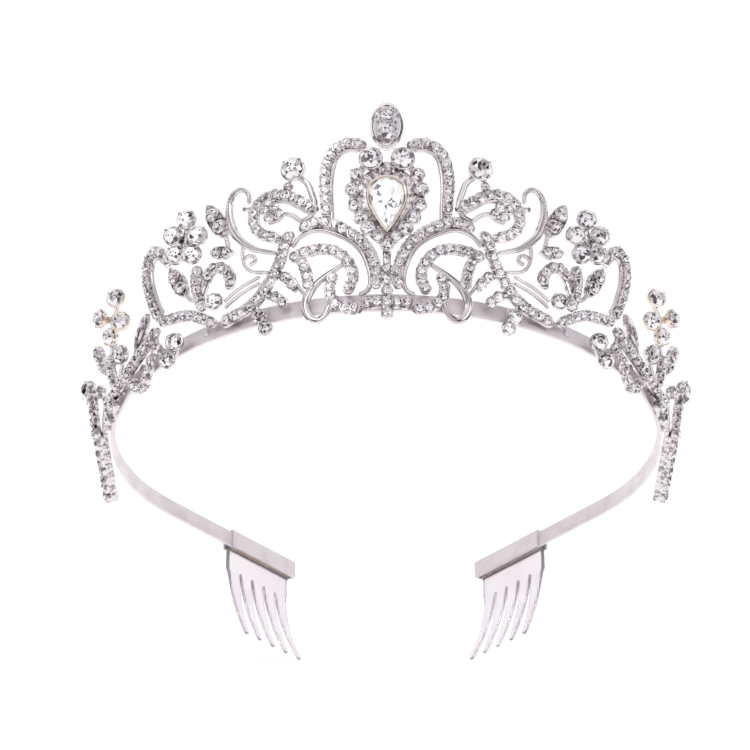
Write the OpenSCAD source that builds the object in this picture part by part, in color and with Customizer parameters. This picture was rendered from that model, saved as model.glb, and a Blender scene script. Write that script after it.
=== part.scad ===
// Bridal tiara: a sprung metal headband with a comb crimped to each end, and an
// ornament of cast scrollwork, leaves and flowers set with clear glass stones.
// The ornament follows the headband's front arc and flares outwards. Every piece is
// drawn on a flat sheet first: u runs round the band from its front centre, z runs up
// the ornament and out stands away from the head. on_front() wraps that sheet round.
// The origin is the centre of the front arc, which is where the head sits.

/* [Headband] */
// Outer radius of the headband's front arc
front_radius = 70; // [66:1:76]
// Outer radius of the tighter bend behind each ear
side_radius = 56; // [50:1:60]
// Angle that each side bend turns through
side_turn = 39; // [34:1:42]
// Length of each straight leg
leg_length = 48; // [44:1:54]
// Width of the flat strip
band_width = 4.5; // [4:0.5:6]
// Thickness of the flat strip
band_thickness = 1; // [0.8:0.1:1.2]
// Tilt of the band as it is worn, front edge up
worn_tilt = 30; // [0:1:40]

/* [Ornament] */
// Outward flare of the ornament above the band
flare = 8.5; // [5:0.5:11]
// Thickness of the cast scrollwork
casting = 1.4; // [1.2:0.1:1.6]
// Width of the stone-set ribbons
ribbon = 2.6; // [2.3:0.1:2.8]
// Diameter of the plain wires
wire = 1.1; // [0.9:0.1:1.3]
// Diameter of the stones in the rows
row_stone = 2.1; // [1.8:0.1:2.2]
// Distance from one row stone to the next
row_pitch = 2.35; // [2.3:0.05:2.8]
// Diameter of the flower stones
petal_stone = 4.3; // [3.8:0.1:4.5]

/* [Combs] */
// Number of teeth on each comb
comb_teeth = 5; // [4:1:7]
// Length of each comb along the headband
comb_length = 24; // [22:1:28]
// Height of the solid part of the comb below the band
comb_root = 6; // [5:0.5:8]
// Length of the teeth below the solid part
tooth_length = 20; // [16:1:24]
// Thickness of the comb
comb_thickness = 1.5; // [1.2:0.1:1.8]
// Distance that the tips curve in towards the head
tooth_curve = 6; // [3:0.5:8]
// Distance that each tip leans further back than the one before it
tooth_lean = 0.6; // [0:0.1:0.8]

/* [Hidden] */
$fn = 32;

silver = [0.83, 0.82, 0.85];
crystal = [0.93, 0.94, 0.98];
clear_plastic = [0.9, 0.87, 0.92];
glue = [0.62, 0.55, 0.5];

// The ornament lies on the band's outer face; its tail runs straight past this angle.
sheet_gap = 1;
sheet_radius = front_radius + sheet_gap;
tail_angle = 90;
tail_start = sheet_radius * tail_angle * PI / 180;
// Front pieces stand one casting in front of the back ones, with a hair's gap.
back_layer = 0;
front_layer = casting + 0.05;
// The stone-set strip of the tail lies on its plain plate.
tail_layer = 0.95;
// Single cups that are turned to the front stand a little off the sheet.
turned_layer = 1;
steps = 4;
ring_gap = 2.25;
bead_gap = 2.4;

// Scrolls of the ornament's right half, as [u, z] in millimetres.
crown_arch = [
    [5.6, 42.1], [8.2, 42.7], [11, 41.4], [12.8, 38.6], [13.6, 35], [13.8, 31], [13.5, 27.6], [13.6, 25],
];
crown_wire = [
    [6.3, 40.8], [8.8, 40.9], [10.9, 39.4], [11.9, 36.6], [12.4, 33], [12.5, 29], [12.4, 26], [12.4, 23],
];
crown_strand = [
    [18.9, 21.9], [15.4, 22.6], [12, 21.7], [8.7, 19.5], [5.4, 16.7], [3.6, 13.5], [2.6, 10], [2.5, 6],
];
crown_edge = [
    [21.6, 17.8], [19.6, 19.8], [16.3, 20.8], [12.6, 19.8], [8.6, 17.4], [6, 14.6],
    [4.5, 11], [3.8, 7.5], [4.3, 4.8], [6, 3.6],
];
crown_column = [[0, 15], [0, 11.5], [0, 8], [0, 4], [0, -1.5]];
crown_foot = [[-4.5, 0.9], [0, 1.2], [4.5, 0.9]];
scroll_curl = [
    [21.2, 14.6], [18.1, 15.5], [14.4, 15.6], [11.2, 14.4], [8.8, 11.7], [7.7, 8.6], [8.1, 6.4], [8.9, 4.9],
];
scroll_strand = [[12.3, 8.2], [13.2, 6], [13.1, 3.5], [11.8, 1.4], [9.2, 0], [7, -0.2]];
scroll_loop = [
    [10.3, 11.2], [14, 8.9], [16.8, 6.7], [18.7, 4], [19.3, 1.4],
    [18.1, -1.4], [16.2, -2.2], [14.5, -1], [13.6, 1.1],
];
scroll_hook = [[20.2, 14.2], [19, 11.6], [18.4, 9.3], [18.2, 6.6]];
scroll_spur = [[21.6, 9], [20.8, 7.2], [19.8, 5.4], [18.6, 4]];
spiral_curl_path = [
    [16.6, 26.4], [18.8, 28.2], [21.3, 30.1], [24.3, 31.5], [27.3, 31.5], [29.7, 29.9],
    [30.8, 27.3], [30.5, 24.4], [28.4, 21.7], [25.6, 20.4],
];
spiral_edge = [[16.9, 25.2], [19.6, 27.2], [22.2, 29.2], [25, 30.1]];
spiral_wire = [[17, 24.8], [19.4, 23.8], [21.4, 25.5], [23.4, 26.3], [25, 25.2], [26.8, 24.9]];
spiral_stem = [[19.3, 35], [17.8, 33.3], [17, 30.8], [16.4, 28.4], [16.4, 26.4]];
spiral_cluster = [[27.9, 28.1], [25.7, 28.5], [26.9, 26], [24.7, 26.4]];
lower_path = [
    [22.4, 20.4], [23.5, 18.2], [24.2, 15.7], [26, 12], [28.6, 8.2], [31.4, 5.4], [34.8, 3.6], [40, 2.6],
];
lower_leaf = [[25.7, 11.1], [23.1, 9.2], [21.6, 6.4]];
lower_curl = [[28.4, 6.3], [25.7, 5], [24.2, 3]];
feather_path = [
    [31.9, 31.6], [32, 33.7], [33.4, 35.3], [35.5, 35], [36.9, 32.7], [37.1, 28.2],
    [35.5, 23.4], [31.9, 19.5], [28.8, 17.8], [26.2, 16.8],
];
feather_beads = [[34, 20.6], [34.3, 17.6], [33.5, 14.8], [31.6, 13.1], [28.4, 12.3]];
feather_curl = [[34.2, 16.6], [32.9, 17.6], [31.5, 17.2], [31.1, 15.9], [32.1, 15.4]];
leaf_stem = [[38.8, 25.6], [38.2, 23.4], [37.9, 21.2]];
arch_path = [
    [56.3, 24.4], [57.4, 27], [59.3, 28.9], [61.4, 28.8], [63, 26.6],
    [63.7, 23], [63.3, 19.5], [62, 14.8], [60.6, 11.4],
];
arch_edge = [[57.6, 25.2], [59.2, 27.1], [61, 26.9], [62.1, 24.6], [62.1, 20.6], [60.9, 15.9], [59.5, 12.4]];
arch_base = [[58.9, 9.5], [54, 8.6], [50, 7.5], [46.6, 5.5], [43.6, 3.4]];
branch_stem = [[46.3, 8.6], [47.2, 12], [47.5, 16], [46.9, 18.2]];
branch_curl = [
    [46.4, 11.7], [44.6, 15], [42.9, 16.8], [40.6, 16.9], [38.8, 15.6], [37.6, 13.4], [38.2, 11.7],
];
wing_strand = [[62.2, 8.2], [65, 6.8], [69, 5.6], [73.4, 4.4], [78.7, 3.4], [84, 3], [89, 3.4], [92.6, 4]];
wing_stem = [[83.6, 15.6], [85.8, 12.6], [86.2, 9], [85.2, 5.4]];
wing_loop = [[63.4, 4.2], [65.6, 1.4], [67.6, -1.8], [69.8, -3.2], [72.2, -2.4], [73.8, 0], [76.4, 1]];
tail_plate = [[96.4, 4], [104, 4.2], [112, 4.6], [121, 4.4], [131, 4], [141.6, 3.3]];
tail_path = [[111, 4.6], [119, 4.5], [127, 4.1], [135, 3.7], [141, 3.3]];
tail_row = [[113.8, 4.6], [119, 4.5], [127, 4.1], [135, 3.7], [141, 3.3]];
tail_chain = [[108.7, 15.8], [109.2, 12.2], [109.2, 8], [108.8, 4.4]];
tail_branch = [[101, 5], [99.4, 7.6], [98.2, 10]];

// Stones set on their own, as [u, z] or, where a cup is turned to the front, [u, z, turn].
front_petals = [[47.4, 31.1, 28], [51.6, 28.5, 28], [44.6, 25.7, 28], [51.2, 23.2, 28], [46.6, 21.5, 28]];
front_heart = [48.8, 26.3];
side_petals = [[74.4, 22.8, 38], [84.2, 23, 8], [73.2, 15.8, 38], [79, 14.8, 20]];
side_heart = [79, 19.6];
halo_places = [[6.6, 33.3], [7.5, 29.5], [7.1, 25.4], [5.8, 22.1], [4.2, 19.3]];
halo_ring = concat([[3.4, 37.2]], halo_places);
solder_places = [0, 9, 30, 40, 47, 57, 71, 84, 92, 103];

// ---------- curves ----------

// Catmull-Rom curve through the hand-placed points.
function blend(a, b, c, d, t) =
    0.5 * (2 * b + (c - a) * t + (2 * a - 5 * b + 4 * c - d) * t * t + (3 * b - a - 3 * c + d) * t * t * t);
function smooth(p) = let (last = len(p) - 1) [
    for (i = [0:last - 1], k = [0:steps - 1])
        blend(p[max(i - 1, 0)], p[i], p[i + 1], p[min(i + 2, last)], k / steps),
    p[last],
];

// Distance from the start of a path to each of its points.
function distances(p) = [
    for (i = 0, far = 0; i < len(p); far = far + (i + 1 < len(p) ? norm(p[i + 1] - p[i]) : 0), i = i + 1) far
];

// Evenly spaced places along a path, for stones and beads.
function places(p, pitch) = let (
    d = distances(p),
    total = d[len(d) - 1],
    count = floor(total / pitch),
    start = (total - count * pitch) / 2,
    across = [for (i = [0:len(p) - 1]) [d[i], p[i][0]]],
    up = [for (i = [0:len(p) - 1]) [d[i], p[i][1]]]
) [for (k = [0:count]) [lookup(start + k * pitch, across), lookup(start + k * pitch, up)]];

// The same path with its points a ring's gap apart, its two ends kept.
function rings_along(p) = let (
    d = distances(p),
    total = d[len(d) - 1],
    count = max(2, round(total / ring_gap)),
    across = [for (i = [0:len(p) - 1]) [d[i], p[i][0]]],
    up = [for (i = [0:len(p) - 1]) [d[i], p[i][1]]]
) [for (k = [0:count]) [lookup(k * total / count, across), lookup(k * total / count, up)]];

// A path without its first point, where its start is hidden under another piece.
function after_first(p) = [for (i = [1:len(p) - 1]) p[i]];

// Unit vector in the sheet at right angles to the path.
function sideways(p, i) = let (
    ahead = p[min(i + 1, len(p) - 1)] - p[max(i - 1, 0)]
) [-ahead[1], ahead[0]] / norm(ahead);

// Wraps a point of the sheet round the headband.
function on_front(u, z, out) = let (
    side = u < 0 ? -1 : 1,
    angle = min(abs(u), tail_start) / sheet_radius * 180 / PI,
    past = max(abs(u) - tail_start, 0),
    radius = sheet_radius + z * sin(flare) + out * cos(flare)
) [
    side * (radius * sin(angle) + past * cos(angle)),
    -radius * cos(angle) + past * sin(angle),
    z * cos(flare) - out * sin(flare),
];

// Cross-sections, as [across, out]: a ribbon with bevelled front edges, and a wire.
function ribbon_section(w) = [
    [-w / 2, -casting / 2], [w / 2, -casting / 2], [w * 0.42, casting / 2], [-w * 0.42, casting / 2],
];
function wire_section(d) = [for (a = [18:72:306]) d / 2 * [cos(a), sin(a)]];

// Outline of a leaf or of a pear, pointing along -Y, length along Y.
function leaf_outline(long, wide) = [
    for (a = [0:20:340]) [wide / 2 * sin(a) * sqrt(abs(sin(a))), long / 2 * cos(a)]
];
function pear_outline(long, wide) = [
    for (a = [0:15:345]) [wide * 0.64 * sin(a) * pow(abs(sin(a / 2)), 1.1), -long / 2 * cos(a)]
];
function finial_outline(long, wide) = [
    for (a = [0:15:345]) [
        wide / 2 * sin(a) * (1 - 0.22 * cos(a)) * pow(abs(cos(a / 2)), 0.35),
        long / 2 * cos(a),
    ]
];

// ---------- shared modules ----------

// The band's own plane, tilted as it is worn.
module worn() {
    rotate([-worn_tilt, 0, 0]) children();
}

module on_right() {
    worn() children();
}

module on_left() {
    worn() mirror([1, 0, 0]) children();
}

// Puts its children on the ornament: X runs round, Y runs up and Z stands out.
module at_front(u, z, out) {
    side = u < 0 ? -1 : 1;
    angle = side * min(abs(u), tail_start) / sheet_radius * 180 / PI;
    past = side * max(abs(u) - tail_start, 0);
    radius = sheet_radius + z * sin(flare) + out * cos(flare);
    rotate([0, 0, angle])
        translate([past, -radius, z * cos(flare) - out * sin(flare)])
            rotate([90 + flare, 0, 0])
                children();
}

// Sweeps a section along a path. The width follows widths = [start, middle, end].
module sweep(path, section, out, widths = [1, 1, 1]) {
    p = rings_along(smooth(path));
    rings = len(p);
    sides = len(section);
    share = [[0, widths[0]], [0.5, widths[1]], [1, widths[2]]];
    points = [
        for (i = [0:rings - 1])
            let (n = sideways(p, i), k = lookup(i / (rings - 1), share))
                for (s = section) on_front(p[i][0] + n[0] * s[0] * k, p[i][1] + n[1] * s[0] * k, out + s[1])
    ];
    walls = [
        for (i = [0:rings - 2], j = [0:sides - 1])
            let (a = i * sides + j, b = i * sides + (j + 1) % sides)
                each [[a, a + sides, b + sides], [a, b + sides, b]]
    ];
    top = (rings - 1) * sides;
    caps = [for (j = [1:sides - 2]) each [[0, j, j + 1], [top, top + j + 1, top + j]]];
    polyhedron(points, concat(walls, caps));
}

// A flat ribbon that carries a row of stones, with its two ends rounded off.
module stone_ribbon(path, out = back_layer, widths = [1, 1, 1]) {
    sweep(path, ribbon_section(ribbon), out, widths);
    disc(path[0], ribbon * widths[0], out);
    disc(path[len(path) - 1], ribbon * widths[2], out);
}

// A plain wire or narrow strip, with its two ends rounded off.
module plain_wire(path, out = back_layer, widths = [1, 1, 1]) {
    sweep(path, wire_section(wire), out, widths);
    bead(path[0], wire * widths[0] * 1.1, out);
    bead(path[len(path) - 1], wire * widths[2] * 1.1, out);
}

// Turns its children to the front by the angle that a place may give after its u and z.
module turned(place) {
    rotate([0, is_undef(place[2]) ? 0 : -place[2], 0]) children();
}

// A low disc with a bevelled front, which rounds a ribbon's end or backs a stone.
module disc(place, d, out = back_layer) {
    at_front(place[0], place[1], out)
        turned(place)
            hull() {
                sides = d > 3 ? 8 : 6;
                translate([0, 0, -casting / 2]) cylinder(d = d, h = 0.1, $fn = sides);
                translate([0, 0, casting / 2 - 0.1]) cylinder(d = d * 0.84, h = 0.1, $fn = sides);
            }
}

// A small faceted bead, as in a beaded wire.
module bead(place, d, out = back_layer) {
    at_front(place[0], place[1], out)
        hull() {
            translate([0, 0, -d / 2]) cylinder(d = d, h = d / 2, $fn = 5);
            translate([0, 0, d / 2 - 0.1]) cylinder(d = d / 2, h = 0.1, $fn = 5);
        }
}

// A leaf-shaped plate between two points of the sheet.
module leaf(from, to, wide, out = back_layer) {
    run = to - from;
    middle = (from + to) / 2;
    at_front(middle[0], middle[1], out)
        rotate([0, 0, atan2(run[1], run[0]) - 90])
            translate([0, 0, -casting / 2])
                linear_extrude(casting) polygon(leaf_outline(norm(run), wide));
}

// A flat-backed round stone, seated on the front of the casting in its layer.
module stone(place, d, out = back_layer) {
    at_front(place[0], place[1], out)
        turned(place)
            translate([0, 0, casting / 2])
                rotate_extrude()
                    polygon([
                        [0, 0], [d * 0.36, 0], [d / 2, d * 0.2],
                        [d / 2, d * 0.26], [d * 0.3, d * 0.42], [0, d * 0.42],
                    ]);
}

module stone_row(path, out = back_layer) {
    for (place = places(smooth(path), row_pitch)) stone(place, row_stone, out);
}

// ---------- headband and combs ----------

// Places its children where the right-hand leg begins, +X along the leg and +Y inwards.
module at_leg() {
    translate([front_radius - side_radius, 0, 0])
        rotate([0, 0, side_turn])
            translate([side_radius, 0, 0])
                rotate([0, 0, 90])
                    children();
}

// Plan of the strip's right half, from the front centre to the leg's end, set in from its outer face.
function band_half(inset) = let (
    bend = [front_radius - side_radius, 0],
    round_bend = side_radius - inset,
    turn_step = side_turn / 13,
    leg_start = bend + round_bend * [cos(side_turn), sin(side_turn)]
) concat(
    [for (a = [0:3:90]) (front_radius - inset) * [sin(a), -cos(a)]],
    [for (i = [1:13]) bend + round_bend * [cos(i * turn_step), sin(i * turn_step)]],
    [leg_start + leg_length * [-sin(side_turn), cos(side_turn)]]
);
function reversed(list) = [for (i = [len(list) - 1:-1:0]) list[i]];
function mirrored(list) = [for (p = list) [-p[0], p[1]]];

module headband() {
    outer = band_half(0);
    inner = band_half(band_thickness);
    left_inner = mirrored(after_first(inner));
    left_outer = mirrored(after_first(outer));
    color(silver)
        linear_extrude(band_width)
            polygon(concat(outer, reversed(inner), left_inner, reversed(left_outer)));
}

// Sizes of the channel that is crimped over the leg's end and the comb's spine.
channel_wall = 0.5;
channel_length = comb_length + 1.5;
channel_outside = comb_thickness + 0.3;
channel_inside = band_thickness + channel_outside;
channel_start = leg_length - comb_length;
spine_height = band_width - 1;

module comb_channel() {
    color(silver)
        at_leg()
            translate([channel_start, -channel_outside - channel_wall, 0])
                difference() {
                    cube([
                        channel_length + channel_wall,
                        channel_inside + 2 * channel_wall,
                        band_width + channel_wall,
                    ]);
                    translate([-channel_wall, channel_wall, -channel_wall])
                        cube([channel_length + channel_wall, channel_inside, band_width + channel_wall]);
                }
}

// The comb's spine stands outside the leg in the channel; the teeth taper and curve in.
module side_comb() {
    pitch = comb_length / comb_teeth;
    spine_side = -comb_thickness - 0.15;
    color(clear_plastic)
        at_leg()
            translate([channel_start + 0.6, spine_side, 0]) {
                translate([0, 0, -comb_root]) cube([comb_length, comb_thickness, comb_root + spine_height]);
                for (k = [0:comb_teeth - 1]) comb_tooth((k + 0.5) * pitch, pitch, k * tooth_lean);
            }
}

// One tooth: flat pieces hulled in a chain, each further in and narrower than the last.
// Its tip leans back by lean.
module comb_tooth(along, pitch, lean) {
    parts = 6;
    bend = comb_root + tooth_length;
    function slide(k) = tooth_curve * pow((comb_root + k * tooth_length / parts) / bend, 2);
    function width(k) = pitch * (0.74 - 0.34 * k / parts);
    function thick(k) = comb_thickness * (1 - 0.3 * k / parts);
    root_slide = slide(0);
    for (k = [0:parts - 1])
        hull()
            for (m = [k, k + 1])
                translate([
                    along - width(m) / 2 + lean * pow(m / parts, 2),
                    slide(m) - root_slide,
                    -comb_root - m * tooth_length / parts,
                ])
                    cube([width(m), thick(m), 0.2]);
}

// A bead of adhesive under the leg, between the comb and the channel's inner wall.
module comb_adhesive() {
    color(glue)
        at_leg()
            translate([channel_start + 0.6, -0.1, -0.4])
                cube([comb_length, band_thickness + 0.05, 0.35]);
}

// Pads of solder between the band's outer face and the castings.
module solder_joints() {
    height = 2.6;
    gap_start = -sheet_gap - height * tan(flare);
    color(silver)
        for (side = [-1, 1], u = solder_places)
            if (u > 0 || side > 0)
                at_front(side * u, height, gap_start)
                    cylinder(d = 2.2, h = -gap_start - casting / 2);
}

// ---------- centre ----------

module crown_half() {
    stone_ribbon(crown_arch);
    plain_wire(crown_wire);
    stone_ribbon(crown_strand);
    plain_wire(crown_edge);
}

module center_crown() {
    color(silver)
        union() {
            crown_half();
            mirror([1, 0, 0]) crown_half();
            stone_ribbon(crown_column, back_layer, [0.8, 0.6, 1.2]);
            disc([0, 6.9], 3.4);
            stone_ribbon(crown_foot);
        }
}

module crown_stones() {
    column_rows = [[0, 9.6], [0, 4], [0, -1.4]];
    color(crystal) {
        for (side = [-1, 1])
            for (path = [crown_arch, crown_strand])
                for (place = places(smooth(path), row_pitch)) stone([side * place[0], place[1]], row_stone);
        for (place = column_rows) stone(place, row_stone);
        stone([0, 6.9], 2.7);
        for (u = [-4.6, -2.3, 0, 2.3, 4.6]) stone([u, 1.3], row_stone);
    }
}

module finial_bezel() {
    color(silver)
        at_front(0, 46, front_layer) {
            translate([0, 0, -casting / 2]) linear_extrude(casting) polygon(finial_outline(12.4, 9.1));
            linear_extrude(casting)
                difference() {
                    polygon(finial_outline(12.4, 9.1));
                    polygon(finial_outline(10.6, 7.3));
                }
        }
}

module finial_stones() {
    color(crystal) {
        stone([0, 48.7], 3, front_layer);
        stone([0, 44.4], 4.6, front_layer);
    }
}

module pear_bezel() {
    color(silver)
        union() {
            at_front(0, 25.4, front_layer) {
                translate([0, 0, -casting / 2]) linear_extrude(casting / 2) polygon(pear_outline(20.5, 15));
                translate([0, 0, -casting / 2]) linear_extrude(casting) polygon(pear_outline(15.4, 10.2));
                linear_extrude(casting)
                    difference() {
                        polygon(pear_outline(15.4, 10.2));
                        polygon(pear_outline(13.6, 8.6));
                    }
            }
            for (side = [-1, 1]) {
                for (place = halo_places) disc([side * place[0], place[1]], 3.4, front_layer);
                ring = [for (place = halo_ring) [side * place[0], place[1]]];
                sweep(ring, ribbon_section(1.6), front_layer);
                disc([side * 3.4, 37.2], 5.8, front_layer);
            }
            disc([0, 34.6], 5.6, front_layer);
            disc([0, 15.6], 3.6, front_layer);
            sweep([[-4.2, 19.3], [0, 15.6], [4.2, 19.3]], ribbon_section(1.8), front_layer);
        }
}

module pear_stone() {
    color(crystal)
        at_front(0, 25.4, front_layer + casting / 2) {
            linear_extrude(0.9) polygon(pear_outline(13.2, 8.2));
            linear_extrude(1.8) polygon(pear_outline(10.4, 6.2));
        }
}

module halo_stones() {
    color(crystal) {
        for (side = [-1, 1]) {
            for (place = halo_places) stone([side * place[0], place[1]], 2.9, front_layer);
            stone([side * 3.4, 37.2], 5.2, front_layer);
            stone([side * 2, 17.2], 2.2, front_layer);
        }
        stone([0, 14.9], 2.6, front_layer);
    }
}

// ---------- right-hand scrollwork, mirrored for the left ----------

module inner_scroll() {
    color(silver)
        union() {
            stone_ribbon(scroll_curl);
            stone_ribbon(scroll_strand, back_layer, [0.8, 1, 1]);
            plain_wire(scroll_loop, back_layer, [1, 1.8, 1.4]);
            stone_ribbon(scroll_hook, back_layer, [0.9, 1, 0.9]);
            plain_wire(scroll_spur, back_layer, [0.8, 0.8, 0.8]);
        }
}

module inner_scroll_stones() {
    color(crystal)
        for (path = [scroll_curl, scroll_strand, after_first(scroll_hook)]) stone_row(path);
}

module spiral_curl() {
    color(silver)
        union() {
            stone_ribbon(spiral_curl_path);
            plain_wire(spiral_edge);
            plain_wire(spiral_wire);
            plain_wire(spiral_stem, back_layer, [1.2, 1.3, 1.3]);
            disc([20.7, 37], 5.8);
            disc([22.3, 33.2], 2.8);
            for (place = spiral_cluster) disc(place, ribbon);
            plain_wire([[31, 29.4], [33, 29.9]]);
        }
}

module spiral_stones() {
    color(crystal) {
        stone_row(spiral_curl_path);
        stone([20.7, 37], 5.4);
        for (place = spiral_cluster) stone(place, row_stone);
    }
}

module lower_strand() {
    color(silver)
        union() {
            stone_ribbon(lower_path, back_layer, [1, 1, 1.25]);
            stone_ribbon(lower_leaf, back_layer, [0.8, 1, 0.5]);
            stone_ribbon(lower_curl, back_layer, [0.8, 1, 0.6]);
            disc([30.5, 0.9], 4);
            disc([29, -2.2], 3.6);
            plain_wire([[29, -2.2], [30.5, 0.9], [31.6, 5]]);
        }
}

module lower_strand_stones() {
    color(crystal) {
        stone_row(lower_path);
        stone([23.6, 9.7], row_stone);
        stone([22, 7.6], row_stone);
        stone([26.2, 5.2], row_stone);
        stone([24.4, 3.4], row_stone);
        stone([30.5, 0.9], 3.4);
        stone([29, -2.3], 3);
    }
}

module feather_wire() {
    color(silver)
        union() {
            plain_wire(feather_path, back_layer, [0.8, 1.9, 0.9]);
            plain_wire(feather_beads, back_layer, [0.8, 0.8, 0.8]);
            for (place = places(smooth(feather_beads), bead_gap)) bead(place, wire * 1.15);
            plain_wire(feather_curl, back_layer, [0.8, 0.8, 1]);
        }
}

module cross_wires() {
    color(silver)
        for (shift = [-0.8, 0.8]) {
            run = [[30.5, 10.6 + shift], [34, 9.6 + shift], [37, 8.4 + shift], [39.6, 7.1 + shift]];
            sweep(run, wire_section(wire), back_layer, [0.7, 0.7, 0.7]);
        }
}

module leaf_spray() {
    color(silver)
        union() {
            leaf([42.9, 34.2], [38.2, 24], 4.7);
            leaf([43, 21.4], [36.4, 19.6], 3.2);
            plain_wire(leaf_stem);
            for (place = places(smooth(leaf_stem), bead_gap)) bead(place, wire * 1.3);
        }
}

module leaf_stones() {
    color(crystal) {
        stone([41.2, 30.8], 3.2);
        stone([39.6, 27.2], 3);
        stone([40.8, 20.7], 2.4);
        stone([38, 20], 2.2);
    }
}

// A flower: one cup for each stone, joined at the heart by a star of short arms.
module flower(petals, heart) {
    color(silver)
        union() {
            disc(heart, 3.4, front_layer);
            for (place = petals) {
                disc(place, petal_stone + 0.5, front_layer + petal_lift(place));
                sweep([heart, (heart + flat(place)) / 2, flat(place)], ribbon_section(1.8), front_layer);
            }
        }
}

// A turned petal is lifted, so that its inner rim clears the scrolls behind it.
function petal_lift(place) = is_undef(place[2]) ? 0 : petal_stone / 4 * sin(place[2]);
function flat(place) = [place[0], place[1]];

module flower_stones(petals) {
    color(crystal)
        for (place = petals) stone(place, petal_stone, front_layer + petal_lift(place));
}

module side_arch() {
    color(silver)
        union() {
            stone_ribbon(arch_path);
            stone_ribbon(arch_base);
            plain_wire(arch_edge);
            disc([60.2, 10.4], ribbon * 1.1);
        }
}

module side_arch_stones() {
    color(crystal) {
        stone_row(after_first(arch_path));
        stone_row(arch_base);
    }
}

module inner_branch() {
    color(silver)
        union() {
            stone_ribbon(branch_stem, back_layer, [1, 1.3, 1]);
            stone_ribbon(branch_curl);
            leaf([55.4, 22.4], [50.6, 12.6], 4.2);
            plain_wire([[51.2, 13.8], [49.4, 11.4], [47.4, 11.6]]);
            disc([42, 7.8, 25], 4, turned_layer);
            plain_wire([[42, 7.8], [44.4, 9.6], [46.4, 10.4]]);
        }
}

module inner_branch_stones() {
    color(crystal) {
        stone_row(branch_stem);
        stone_row(after_first(branch_curl));
        stone([53.7, 19], 3);
        stone([52.1, 15.6], 2.8);
        stone([42, 7.8, 25], 3.6, turned_layer);
    }
}

module side_wing() {
    color(silver)
        union() {
            stone_ribbon(wing_strand, back_layer, [1, 1.2, 1]);
            stone_ribbon(wing_stem, back_layer, [0.9, 1, 1]);
            stone_ribbon(wing_loop, back_layer, [0.8, 1, 0.8]);
            leaf([98, 23.4], [91, 11], 3.8);
            plain_wire([[91.6, 12], [89, 8.4], [86.2, 5]]);
            leaf([64.8, 14.4], [71.6, 7.6], 3.6);
            plain_wire([[71, 8.2], [72.4, 6.4], [73.4, 4.4]]);
            disc([77.6, 9.4], 5);
            plain_wire([[77.6, 9.4], [81, 6.4], [84, 3]]);
            disc([61.6, 3.2], 3.4);
            disc([87, 0.4], 3.8);
            disc([91.4, -0.8], 3.6);
            plain_wire([[87, 0.4], [91.4, -0.8], [92, 3]]);
            disc([54.8, 1.8, 30], 4.6, turned_layer);
            disc([57.8, -1.6, 30], 4.2, turned_layer);
            plain_wire([[54.8, 1.8], [57.8, -1.6], [61.6, 3.2], [62.8, 7]]);
        }
}

module side_wing_stones() {
    color(crystal) {
        stone_row(wing_strand);
        stone_row(after_first(wing_stem));
        stone_row([[65, 2], [67.6, -1.8], [69.8, -3.2], [72.2, -2.4], [73.6, -0.4]]);
        stone([96.4, 20.4], 2.8);
        stone([94.6, 17.3], 2.6);
        stone([93, 14.4], 2.4);
        stone([77.6, 9.4], 4.4);
        stone([61.6, 3.2], 2.8);
        stone([87, 0.2], 3.2);
        stone([91.4, -1], 3);
        stone([54.8, 1.8, 30], 4, turned_layer);
        stone([57.8, -1.8, 30], 3.6, turned_layer);
    }
}

module tail_spray() {
    color(silver)
        union() {
            sweep(tail_plate, ribbon_section(ribbon), back_layer, [0.9, 1.2, 1.1]);
            disc([141.6, 3.3], ribbon * 1.1);
            stone_ribbon(tail_path, tail_layer, [1.2, 1.3, 1.1]);
            stone_ribbon(tail_chain, front_layer, [0.9, 0.8, 1]);
            disc([108.6, 16.5], 6.2, front_layer);
            plain_wire(tail_branch);
            disc([98.2, 10.2], 3.4);
        }
}

module tail_stones() {
    color(crystal) {
        for (place = places(smooth(tail_row), 4.4)) stone(place, 3.4, tail_layer);
        for (z = [11.6, 8, 4.4]) stone([109.1, z], 2.9, front_layer);
        stone([108.6, 16.5], 5.6, front_layer);
        stone([98.2, 10.2], 3);
    }
}

worn() headband();
on_right() comb_channel();  // comb_channel_right
on_left() comb_channel();  // comb_channel_left
on_right() side_comb();  // side_comb_right
on_left() side_comb();  // side_comb_left
on_right() comb_adhesive();  // comb_adhesive_right
on_left() comb_adhesive();  // comb_adhesive_left
worn() solder_joints();
worn() center_crown();
worn() crown_stones();
worn() finial_bezel();
worn() finial_stones();
worn() pear_bezel();
worn() pear_stone();
worn() halo_stones();
on_right() inner_scroll();  // inner_scroll_right
on_left() inner_scroll();  // inner_scroll_left
on_right() inner_scroll_stones();  // inner_scroll_stones_right
on_left() inner_scroll_stones();  // inner_scroll_stones_left
on_right() spiral_curl();  // spiral_curl_right
on_left() spiral_curl();  // spiral_curl_left
on_right() spiral_stones();  // spiral_stones_right
on_left() spiral_stones();  // spiral_stones_left
on_right() lower_strand();  // lower_strand_right
on_left() lower_strand();  // lower_strand_left
on_right() lower_strand_stones();  // lower_strand_stones_right
on_left() lower_strand_stones();  // lower_strand_stones_left
on_right() feather_wire();  // feather_wire_right
on_left() feather_wire();  // feather_wire_left
on_right() cross_wires();  // cross_wires_right
on_left() cross_wires();  // cross_wires_left
on_right() leaf_spray();  // leaf_spray_right
on_left() leaf_spray();  // leaf_spray_left
on_right() leaf_stones();  // leaf_stones_right
on_left() leaf_stones();  // leaf_stones_left
on_right() flower(front_petals, front_heart);  // front_flower_right
on_left() flower(front_petals, front_heart);  // front_flower_left
on_right() flower_stones(front_petals);  // front_flower_stones_right
on_left() flower_stones(front_petals);  // front_flower_stones_left
on_right() side_arch();  // side_arch_right
on_left() side_arch();  // side_arch_left
on_right() side_arch_stones();  // side_arch_stones_right
on_left() side_arch_stones();  // side_arch_stones_left
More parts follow.
